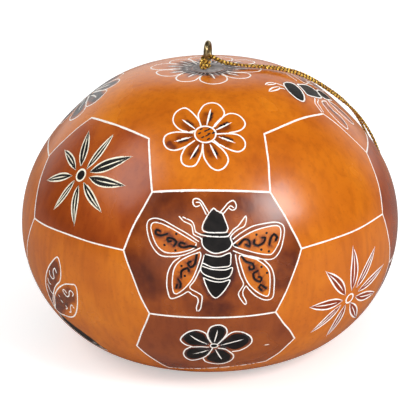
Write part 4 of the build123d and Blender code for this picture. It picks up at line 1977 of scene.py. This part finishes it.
@dataclass
class CarvedRind:
    """The whole rind as one closed mesh: panels, borders, motifs, stem scar and cavity."""

    surface: Surface
    shell: bpy.types.Object
    stem_ring: float = 3.3
    stem_radius: float = 3.0
    stem_rounding: float = 0.2
    stem_seat: float = 0.02
    scar_ring: float = 1.9
    scar_rows: Line = ((1.75, 0.95), (1.5, 0.72), (1.1, 0.70), (0.6, 0.85), (0.0, 0.9))
    ring_count: int = 72
    upper_along: float = 39.4
    middle_along: float = 51.4
    bottom_along: float = 72.9
    name: str = "carved_rind"

    def ring_loop(self, skin: Skin, along: float) -> Loop:
        """Adds a ring of corners at one length from the crown and gives it back as a loop."""
        bearing = np.arange(self.ring_count) * 360.0 / self.ring_count
        lengths = np.full(self.ring_count, along)
        zero = np.zeros(self.ring_count)
        return Loop(skin.add_on(bearing, lengths, zero, zero), bearing, lengths, zero)

    def panels(self, comb: Honeycomb, stem: Loop, scar: Loop) -> list[Region]:
        """Every region of the skin with its marks.

        Args:
            comb: the borders.
            stem: the ring round the stem.
            scar: the ring round the blossom scar.

        Returns:
            The regions.
        """
        outline = self.surface.outline
        crown = Chart(outline, ChartKind.CROWN)
        cap_motifs = [
            crown_daisy(Spot(0.0, 0.0)),
            front_daisy(Spot(0.0, 29.8)),
            beetle(Spot(80.0, 27.0)),
            shaded_flower(Spot(-98.0, 26.7)),
            round_daisy(Spot(180.0, 28.0), 7, 1.9, 7.6, 4.6),
        ]
        regions = [Region(crown, Tone.AMBER, comb.loop(comb.cap()), cap_motifs, stem)]

        def panel(bearing: int, along: float, corners: list[Corner], tone: Tone, motifs: list[Motif]) -> None:
            """Adds a panel whose middle lies at that bearing and length."""
            chart = Chart(outline, ChartKind.PANEL, bearing, along)
            regions.append(Region(chart, tone, comb.loop(corners), motifs))

        uppers = {
            -45: (Tone.RED_BROWN, [dark_leaf_burst(Spot(-45.0, 39.25))]),
            45: (Tone.AMBER, []),
            135: (Tone.RED_BROWN, [dark_leaf_burst(Spot(135.0, 39.4, flip=True))]),
            -135: (Tone.AMBER, []),
        }
        for bearing, (tone, motifs) in uppers.items():
            panel(bearing, self.upper_along, comb.upper(bearing), tone, motifs)
        burns = [
            ((-9.5, 9.0), (-7.0, 10.0), 4.5, 0.24), ((-15.5, -2.0), (-12.5, -5.5), 4.5, 0.32),
            ((15.0, -1.5), (13.5, -5.0), 3.5, 0.38), ((-1.0, -9.8), (2.5, -10.5), 3.0, 0.35),
            ((7.0, 9.5), (5.5, 10.5), 2.2, 0.30),
        ]
        middles = {
            0: (Tone.UMBER, [smudges(Spot(0.0, 51.4), burns), bee(Spot(0.0, 51.28))]),
            90: (Tone.RED_BROWN, []),
            -90: (Tone.AMBER, []),
            180: (Tone.UMBER, [smudges(Spot(180.0, 51.4), burns), butterfly(Spot(195.2, 46.4))]),
        }
        for bearing, (tone, motifs) in middles.items():
            panel(bearing, self.middle_along, comb.panel(bearing, "D", "C", "B"), tone, motifs)
        for bearing, lean in ((0, 0.0), (90, 25.0), (180, -15.0), (-90, 50.0)):
            flower = black_flower(Spot(bearing, 72.875, lean))
            panel(bearing, self.bottom_along, comb.panel(bearing, "F", "E", "D"), Tone.RUSSET, [flower])
        base_motifs = [
            brown_leaf_burst(Spot(45.0, 61.7)),
            butterfly(Spot(-45.0, 61.7), True),
            butterfly(Spot(135.0, 61.7, flip=True)),
            brown_leaf_burst(Spot(-135.0, 61.7, flip=True)),
        ]
        base = Chart(outline, ChartKind.BASE)
        regions.append(Region(base, Tone.AMBER, comb.loop(comb.base()), base_motifs, scar))
        return regions

    def build(self) -> bpy.types.Object:
        """Builds the rind and gives the object back."""
        outline = self.surface.outline
        skin = Skin(self.surface)
        comb = Honeycomb(outline, skin)
        stem = self.ring_loop(skin, self.stem_ring)
        scar = self.ring_loop(skin, outline.total - self.scar_ring)
        for region in self.panels(comb, stem, scar):
            before = len(skin.faces)
            region.build(skin)
            log.info("%s region: %d faces", region.chart.kind.value, len(skin.faces) - before)
        top, rounding = outline.stem_top, self.stem_rounding
        stem_rows = [
            (self.stem_radius, outline.crown + self.stem_seat),
            (self.stem_radius, top - rounding),
            (self.stem_radius - 0.3 * rounding, top - 0.3 * rounding),
            (self.stem_radius - rounding, top),
            (0.5 * self.stem_radius, top),
            (outline.hole_radius, top),
        ]
        # The stem stub takes the grey painted sheen as well.
        hole = skin.revolve(stem.ids, stem_rows, Tone.GREY)
        walls = [place for place in reversed(outline.inner) if place[0] > outline.hole_radius]
        inner_rows = [(outline.hole_radius, walls[0][1]), *walls[::2], (0.0, outline.floor)]
        skin.revolve(hole, inner_rows, Tone.CORE)
        skin.revolve(scar.ids, list(self.scar_rows), Tone.BROWN, True)
        piece = bpy.data.objects.new(self.name, skin.mesh(self.name))
        bpy.context.scene.collection.objects.link(piece)
        for tone in Tone:
            piece.data.materials.append(RIND_FINISHES[tone].material())
        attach(piece, "root")
        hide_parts(self.shell.name)
        log.info("rind: %d corners, %d faces", skin.count, len(skin.faces))
        return piece


# The hanging cord


class Plies(NodeBoard):
    """A Geometry Nodes tree that lays three twisted plies along a line of points."""

    count = 3
    sides = 8

    def __init__(self, finish: YarnFinish) -> None:
        """Builds the tree with that finish."""
        super().__init__(bpy.data.node_groups.new("twisted_plies", "GeometryNodeTree"))
        self.sockets: dict[str, str] = {}
        face = self.tree.interface
        face.new_socket("Geometry", in_out="INPUT", socket_type="NodeSocketGeometry")
        for name in ("Ply radius", "Ply offset", "Lay pitch", "Spacing"):
            entry = face.new_socket(name, in_out="INPUT", socket_type="NodeSocketFloat")
            self.sockets[name] = entry.identifier
        face.new_socket("Geometry", in_out="OUTPUT", socket_type="NodeSocketGeometry")
        self.start = self.add("NodeGroupInput")
        line = self.feed("GeometryNodeMeshToCurve", self.start.outputs["Geometry"])
        even = self.add("GeometryNodeResampleCurve", mode="LENGTH")
        self.join(line, even.inputs["Curve"])
        self.join(self.start.outputs["Spacing"], even.inputs["Length"])
        upright = self.feed("GeometryNodeSetCurveNormal", even.outputs["Curve"], mode="MINIMUM_TWIST")
        joined = self.add("GeometryNodeJoinGeometry")
        for number in range(self.count):
            self.join(self.ply(upright, number), joined.inputs["Geometry"])
        smooth = self.feed("GeometryNodeSetShadeSmooth", joined.outputs["Geometry"])
        dress = self.add("GeometryNodeSetMaterial")
        dress.inputs["Material"].default_value = finish.material()
        self.join(self.feed("GeometryNodeRealizeInstances", smooth), dress.inputs["Geometry"])
        self.join(dress.outputs["Geometry"], self.add("NodeGroupOutput").inputs["Geometry"])

    def pair(self, operation: str, first: Socket, second: Socket) -> Socket:
        """Adds an operation on two vectors and gives the result's socket."""
        return self.feed("ShaderNodeVectorMath", first, second, operation=operation)

    def scaled(self, vector: Socket, factor: Socket) -> Socket:
        """Adds a vector times a number and gives the result's socket."""
        return self.feed("ShaderNodeVectorMath", vector, None, None, factor, operation="SCALE")

    def ply(self, curve: Socket, number: int) -> Socket:
        """Adds one ply.

        Args:
            curve: the line that it winds about.
            number: which ply it is.

        Returns:
            The ply's geometry socket.
        """
        travel = self.add("GeometryNodeSplineParameter").outputs["Length"]
        normal = self.add("GeometryNodeInputNormal").outputs["Normal"]
        tangent = self.add("GeometryNodeInputTangent").outputs["Tangent"]
        turns = self.sum_of("DIVIDE", travel, self.start.outputs["Lay pitch"])
        angle = self.sum_of("MULTIPLY_ADD", turns, 2.0 * math.pi, 2.0 * math.pi * number / self.count)
        across = self.pair("CROSS_PRODUCT", tangent, normal)
        first = self.scaled(normal, self.sum_of("COSINE", angle))
        second = self.scaled(across, self.sum_of("SINE", angle))
        offset = self.scaled(self.pair("ADD", first, second), self.start.outputs["Ply offset"])
        moved = self.feed("GeometryNodeSetPosition", curve, None, None, offset)
        store = self.add("GeometryNodeStoreNamedAttribute", data_type="FLOAT", domain="POINT")
        store.inputs["Name"].default_value = PLY_LENGTH
        self.join(moved, store.inputs["Geometry"])
        self.join(travel, store.inputs["Value"])
        circle = self.add("GeometryNodeCurvePrimitiveCircle", mode="RADIUS")
        circle.inputs["Resolution"].default_value = self.sides
        self.join(self.start.outputs["Ply radius"], circle.inputs["Radius"])
        tube = self.add("GeometryNodeCurveToMesh")
        tube.inputs["Fill Caps"].default_value = True
        self.join(store.outputs["Geometry"], tube.inputs["Curve"])
        self.join(circle.outputs["Curve"], tube.inputs["Profile Curve"])
        return tube.outputs["Mesh"]

    def lay(self, name: str, lines: list[np.ndarray], sizes: dict[str, float]) -> bpy.types.Object:
        """Lays plies along lines.

        Args:
            name: name of the new piece.
            lines: points of each line, in metres.
            sizes: value of each named input, in metres.

        Returns:
            The piece, as a plain mesh.
        """
        corners = np.vstack(lines)
        edges = []
        count = 0
        for line in lines:
            edges += [(count + index, count + index + 1) for index in range(len(line) - 1)]
            count += len(line)
        guide = bpy.data.meshes.new(name + "_line")
        guide.from_pydata(corners.tolist(), edges, [])
        piece = bpy.data.objects.new(name, guide)
        bpy.context.scene.collection.objects.link(piece)
        modifier = piece.modifiers.new("plies", "NODES")
        modifier.node_group = self.tree
        for label, value in sizes.items():
            modifier[self.sockets[label]] = value
        depsgraph = bpy.context.evaluated_depsgraph_get()
        mesh = bpy.data.meshes.new_from_object(piece.evaluated_get(depsgraph))
        piece.modifiers.clear()
        piece.data = mesh
        mesh.name = name
        return piece


@dataclass
class HangingCord:
    """The metallic cord: a doubled strand over the right shoulder, and its knot at the eye."""

    plies: Plies
    diameter: float = 0.6
    length: float = 148.12
    ply_radius: float = 0.155
    ply_offset: float = 0.145
    pitch: float = 3.45
    spacing: float = 0.24
    ring_radius: float = 1.9
    ring_height: float = 61.303
    eye_turn: float = 12.0
    bail_bearing: float = 217.0
    bail_radius: float = 0.88
    bail_spacing: float = 0.66
    bail_sweep: float = 190.0
    knot_centre: Place = (-0.62, -2.92, 59.51)
    knot_radius: float = 0.74
    knot_weave: float = 0.34
    knot_squash: float = 0.85
    knot_facing: Place = (0.0, -0.92, 0.38)
    knot_span: tuple[float, float] = (0.02, 0.985)
    knot_points: int = 90
    bail_points: int = 25
    spline_pieces: int = 12
    route: tuple[Place, ...] = (
        (-0.21, -0.99, 60.95), (0.70, -1.19, 60.90), (1.6, -1.3, 60.4), (3.0, -1.25, 59.6), (5.2, -1.2, 59.0),
        (8.4, -1.2, 58.5), (12.1, -1.0, 58.1), (15.4, -0.8, 57.5), (18.8, -0.2, 56.4), (22.1, 0.8, 54.6),
        (25.3, 1.6, 52.2), (27.9, 2.2, 50.0), (29.9, 3.7, 48.1), (31.7, 5.8, 45.8), (33.8, 7.9, 42.6),
        (36.0, 9.7, 38.4), (37.9, 11.0, 33.2), (38.9, 11.7, 28.0), (39.0, 11.9, 23.2), (38.9, 12.1, 18.6),
        (38.9, 12.2, 15.0), (38.4, 13.5, 13.6), (37.6, 15.3, 13.6), (37.1, 16.6, 15.0), (37.1, 16.6, 18.5),
        (37.2, 16.4, 22.9), (37.3, 16.0, 28.2), (36.6, 15.1, 33.3), (35.1, 13.8, 37.7), (33.2, 11.9, 41.9),
        (31.5, 9.8, 44.9), (29.8, 7.7, 47.4), (27.8, 5.7, 49.8), (25.2, 4.0, 52.1), (22.0, 2.9, 54.5),
        (18.7, 1.9, 56.4), (15.3, 0.9, 57.5), (11.9, 0.2, 58.1), (8.2, -0.1, 58.4), (5.2, -0.2, 58.6),
        (3.1, -0.35, 59.05), (1.7, -0.65, 59.85), (0.75, -0.79, 60.36), (-0.13, -0.60, 60.42),
    )

    def smooth_line(self) -> np.ndarray:
        """Points of the route's smooth spline, in metres."""
        curve = bpy.data.curves.new("cord_route", "CURVE")
        curve.dimensions = "3D"
        spline = curve.splines.new("NURBS")
        spline.points.add(len(self.route) - 1)
        for point, place in zip(spline.points, self.route):
            point.co = (*(value * MM for value in place), 1.0)
        spline.order_u = 3
        spline.use_endpoint_u = True
        spline.resolution_u = self.spline_pieces
        holder = bpy.data.objects.new("cord_route", curve)
        mesh = bpy.data.meshes.new_from_object(holder)
        points = np.array([tuple(vertex.co) for vertex in mesh.vertices])
        bpy.data.objects.remove(holder)
        bpy.data.meshes.remove(mesh)
        return points

    def on_eye(self, x: float, y: float, side: float) -> np.ndarray:
        """A point of the eye's plane, in millimetres.

        Args:
            x: distance along the plane, away from the front.
            y: distance upwards.
            side: distance out of the plane.

        Returns:
            The point.
        """
        turn = math.radians(self.eye_turn)
        away = np.array([math.sin(turn), math.cos(turn), 0.0])
        out = np.array([math.cos(turn), -math.sin(turn), 0.0])
        return away * x + out * side + np.array([0.0, 0.0, self.ring_height + y])

    def knot_lines(self) -> list[np.ndarray]:
        """The strands' turns round the wire and the woven ring of the knot, in metres."""
        lean = math.radians(self.bail_bearing)
        inward = (-math.cos(lean), -math.sin(lean))
        along = (-math.sin(lean), math.cos(lean))
        lines = []
        for side in (-0.5, 0.5):
            turn = []
            for part in np.linspace(0.0, 1.0, self.bail_points):
                swept = math.radians(self.bail_sweep) * part
                reach = self.ring_radius - self.bail_radius * math.cos(swept)
                slide = side * self.bail_spacing * (1.0 - 0.5 * part)
                x = -inward[0] * reach + along[0] * slide
                y = -inward[1] * reach + along[1] * slide
                turn.append(self.on_eye(x, y, -self.bail_radius * math.sin(swept)))
            lines.append(np.array(turn) * MM)
        facing = Vector(self.knot_facing).to_track_quat("Z", "Y").to_matrix()
        woven = []
        for part in np.linspace(*self.knot_span, self.knot_points):
            swept = 2.0 * math.pi * part
            reach = self.knot_radius + self.knot_weave * math.cos(3 * swept)
            across = reach * math.cos(2 * swept)
            up = self.knot_squash * reach * math.sin(2 * swept)
            spot = Vector((across, up, self.knot_weave * math.sin(3 * swept)))
            woven.append(np.array(facing @ spot) + np.array(self.knot_centre))
        lines.append(np.array(woven) * MM)
        return lines

    def build(self) -> list[bpy.types.Object]:
        """Builds the cord and its knot and gives both back."""
        sizes = {
            "Ply radius": self.ply_radius * MM,
            "Ply offset": self.ply_offset * MM,
            "Lay pitch": self.pitch * MM,
            "Spacing": self.spacing * MM,
        }
        line = self.smooth_line()
        cord = self.plies.lay("metallic_cord", [line], sizes)
        knot = self.plies.lay("cord_knot", self.knot_lines(), sizes)
        for piece, node in ((cord, "hanger_cord"), (knot, "hanger_knot")):
            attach(piece, "root")
            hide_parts(node)
        log.info("cord: %d points on its line", len(line))
        return [cord, knot]


# Studio


@dataclass(frozen=True)
class Lamp:
    """A soft square lamp: where it stands and its size in metres, and its power in watts."""

    name: str
    place: Place
    size: float
    power: float


@dataclass
class Studio:
    """The camera, a pale floor, soft lamps and a white background."""

    camera_place: Place = (0.0, -298.95, 138.35)
    camera_down: float = 20.9
    camera_roll: float = 0.70
    target: Place = (0.0, 0.0, 24.2)
    aim_up: float = 2.76
    aim_right: float = -0.40
    lens: float = 129.5
    sensor: float = 36.0
    floor_side: float = 6.0
    floor_colour: Colour = (0.90, 0.90, 0.90)
    floor_mirrored: Colour = (0.30, 0.30, 0.30)
    floor_glow: float = 0.42
    ambient: float = 0.57
    room: float = 0.015
    backdrop_turn: tuple[float, float] = (0.4, 0.95)
    backdrop_rise: tuple[float, float] = (0.35, 0.65)
    lit_place: Place = (0.0, 0.0, 0.03)
    lamps: tuple[Lamp, ...] = (
        Lamp("key", (0.51, -0.44, 0.53), 0.31, 3.4),
        Lamp("fill", (-0.534, -0.174, 0.636), 0.40, 1.45),
        Lamp("low", (0.02, -0.68, 0.09), 1.0, 2.1),
    )

    def camera(self) -> None:
        """Places the camera where the photograph was taken from."""
        down, roll = math.radians(self.camera_down), math.radians(self.camera_roll)
        right = Vector((1.0, 0.0, 0.0))
        up = Vector((0.0, math.sin(down), math.cos(down)))
        turned_right = right * math.cos(roll) - up * math.sin(roll)
        turned_up = up * math.cos(roll) + right * math.sin(roll)
        place = Vector(self.camera_place)
        aim = Vector(self.target) + turned_up * self.aim_up + turned_right * self.aim_right
        back = (place - aim).normalized()
        side = turned_up.cross(back).normalized()
        top = back.cross(side)
        data = bpy.data.cameras.new("camera")
        data.lens = self.lens
        data.sensor_width = self.sensor
        data.clip_start = 0.01
        data.clip_end = 20.0
        item = bpy.data.objects.new("camera", data)
        item.matrix_world = Matrix.Translation(place * MM) @ Matrix((side, top, back)).transposed().to_4x4()
        bpy.context.scene.collection.objects.link(item)
        bpy.context.scene.camera = item

    def floor(self) -> None:
        """Lays the pale floor that keeps the gourd's shadow."""
        half = self.floor_side / 2
        mesh = bpy.data.meshes.new("floor")
        corners = [(-half, -half, 0), (half, -half, 0), (half, half, 0), (-half, half, 0)]
        mesh.from_pydata(corners, [], [(0, 1, 2, 3)])
        item = bpy.data.objects.new("floor", mesh)
        bpy.context.scene.collection.objects.link(item)
        board = MaterialBoard("pale_floor")
        shader = board.shader()
        shader.inputs["Roughness"].default_value = 0.9
        shader.inputs["Specular IOR Level"].default_value = 0.1
        shader.inputs["Emission Color"].default_value = (1.0, 1.0, 1.0, 1.0)
        rays = board.add("ShaderNodeLightPath").outputs
        colour = board.mix(rays["Is Glossy Ray"], self.floor_colour, self.floor_mirrored)
        board.join(colour, shader.inputs["Base Color"])
        glow = board.spread(rays["Is Camera Ray"], 0.0, self.floor_glow)
        board.join(glow, shader.inputs["Emission Strength"])
        mesh.materials.append(board.material)

    def light(self, lamp: Lamp) -> None:
        """Adds a soft lamp that faces the gourd."""
        data = bpy.data.lights.new(lamp.name, "AREA")
        data.shape = "SQUARE"
        data.size = lamp.size
        data.energy = lamp.power
        item = bpy.data.objects.new(lamp.name, data)
        item.location = lamp.place
        item.rotation_euler = (Vector(lamp.place) - Vector(self.lit_place)).to_track_quat("Z", "Y").to_euler()
        bpy.context.scene.collection.objects.link(item)

    def background(self) -> None:
        """Makes a world that is white behind the gourd and a plain soft light elsewhere.

        The camera and transmitted rays see white everywhere, and reflections show the white
        backdrop: behind the gourd and low down it has a strength of 1, in front it is dim.
        """
        world = bpy.data.worlds.new("studio")
        world.use_nodes = True
        bpy.context.scene.world = world
        board = NodeBoard(world.node_tree)
        board.tree.nodes.clear()
        rays = board.add("ShaderNodeLightPath").outputs
        axes = board.add("ShaderNodeSeparateXYZ")
        board.join(board.add("ShaderNodeTexCoord").outputs["Generated"], axes.inputs[0])
        soft = {"interpolation_type": "SMOOTHSTEP"}
        behind = board.spread(axes.outputs["Y"], 0.0, 1.0, *self.backdrop_turn, **soft)
        below = board.spread(axes.outputs["Z"], 1.0, 0.0, *self.backdrop_rise, **soft)
        mirrored_light = board.spread(board.sum_of("MULTIPLY", behind, below), self.room, 1.0)
        plain = board.feed("ShaderNodeMix", rays["Is Glossy Ray"], None, self.ambient, mirrored_light)
        direct = board.sum_of("MAXIMUM", rays["Is Camera Ray"], rays["Is Transmission Ray"])
        strength = board.feed("ShaderNodeMix", direct, None, plain, 1.0)
        light = board.feed("ShaderNodeBackground", (1.0, 1.0, 1.0, 1.0), strength)
        board.join(light, board.add("ShaderNodeOutputWorld").inputs["Surface"])

    def build(self) -> None:
        """Sets up the whole studio."""
        bpy.context.scene.view_settings.view_transform = "Standard"
        self.camera()
        self.floor()
        for lamp in self.lamps:
            self.light(lamp)
        self.background()


def dress_node(name: str, finish: PatchyFinish) -> None:
    """Gives a CAD node that stays as it is a procedural material.

    Args:
        name: the node.
        finish: what it gets.
    """
    material = finish.material()
    data = frame["nodes"][name].data
    for index in range(len(data.materials)):
        data.materials[index] = material
    log.info("%s: dressed as %s", name, finish.name)


def main() -> None:
    """Builds every piece in order."""
    logging.basicConfig(level=logging.INFO, format="%(name)s %(message)s")
    Studio().build()
    HangingCord(Plies(YarnFinish())).build()
    shell = frame["nodes"]["gourd_shell"]
    CarvedRind(Surface(Outline(shell)), shell).build()
    dress_node("screw_eye", TARNISHED_BRASS)
    dress_node("seeds", DRIED_SEED)


if __name__ == "__main__":
    main()
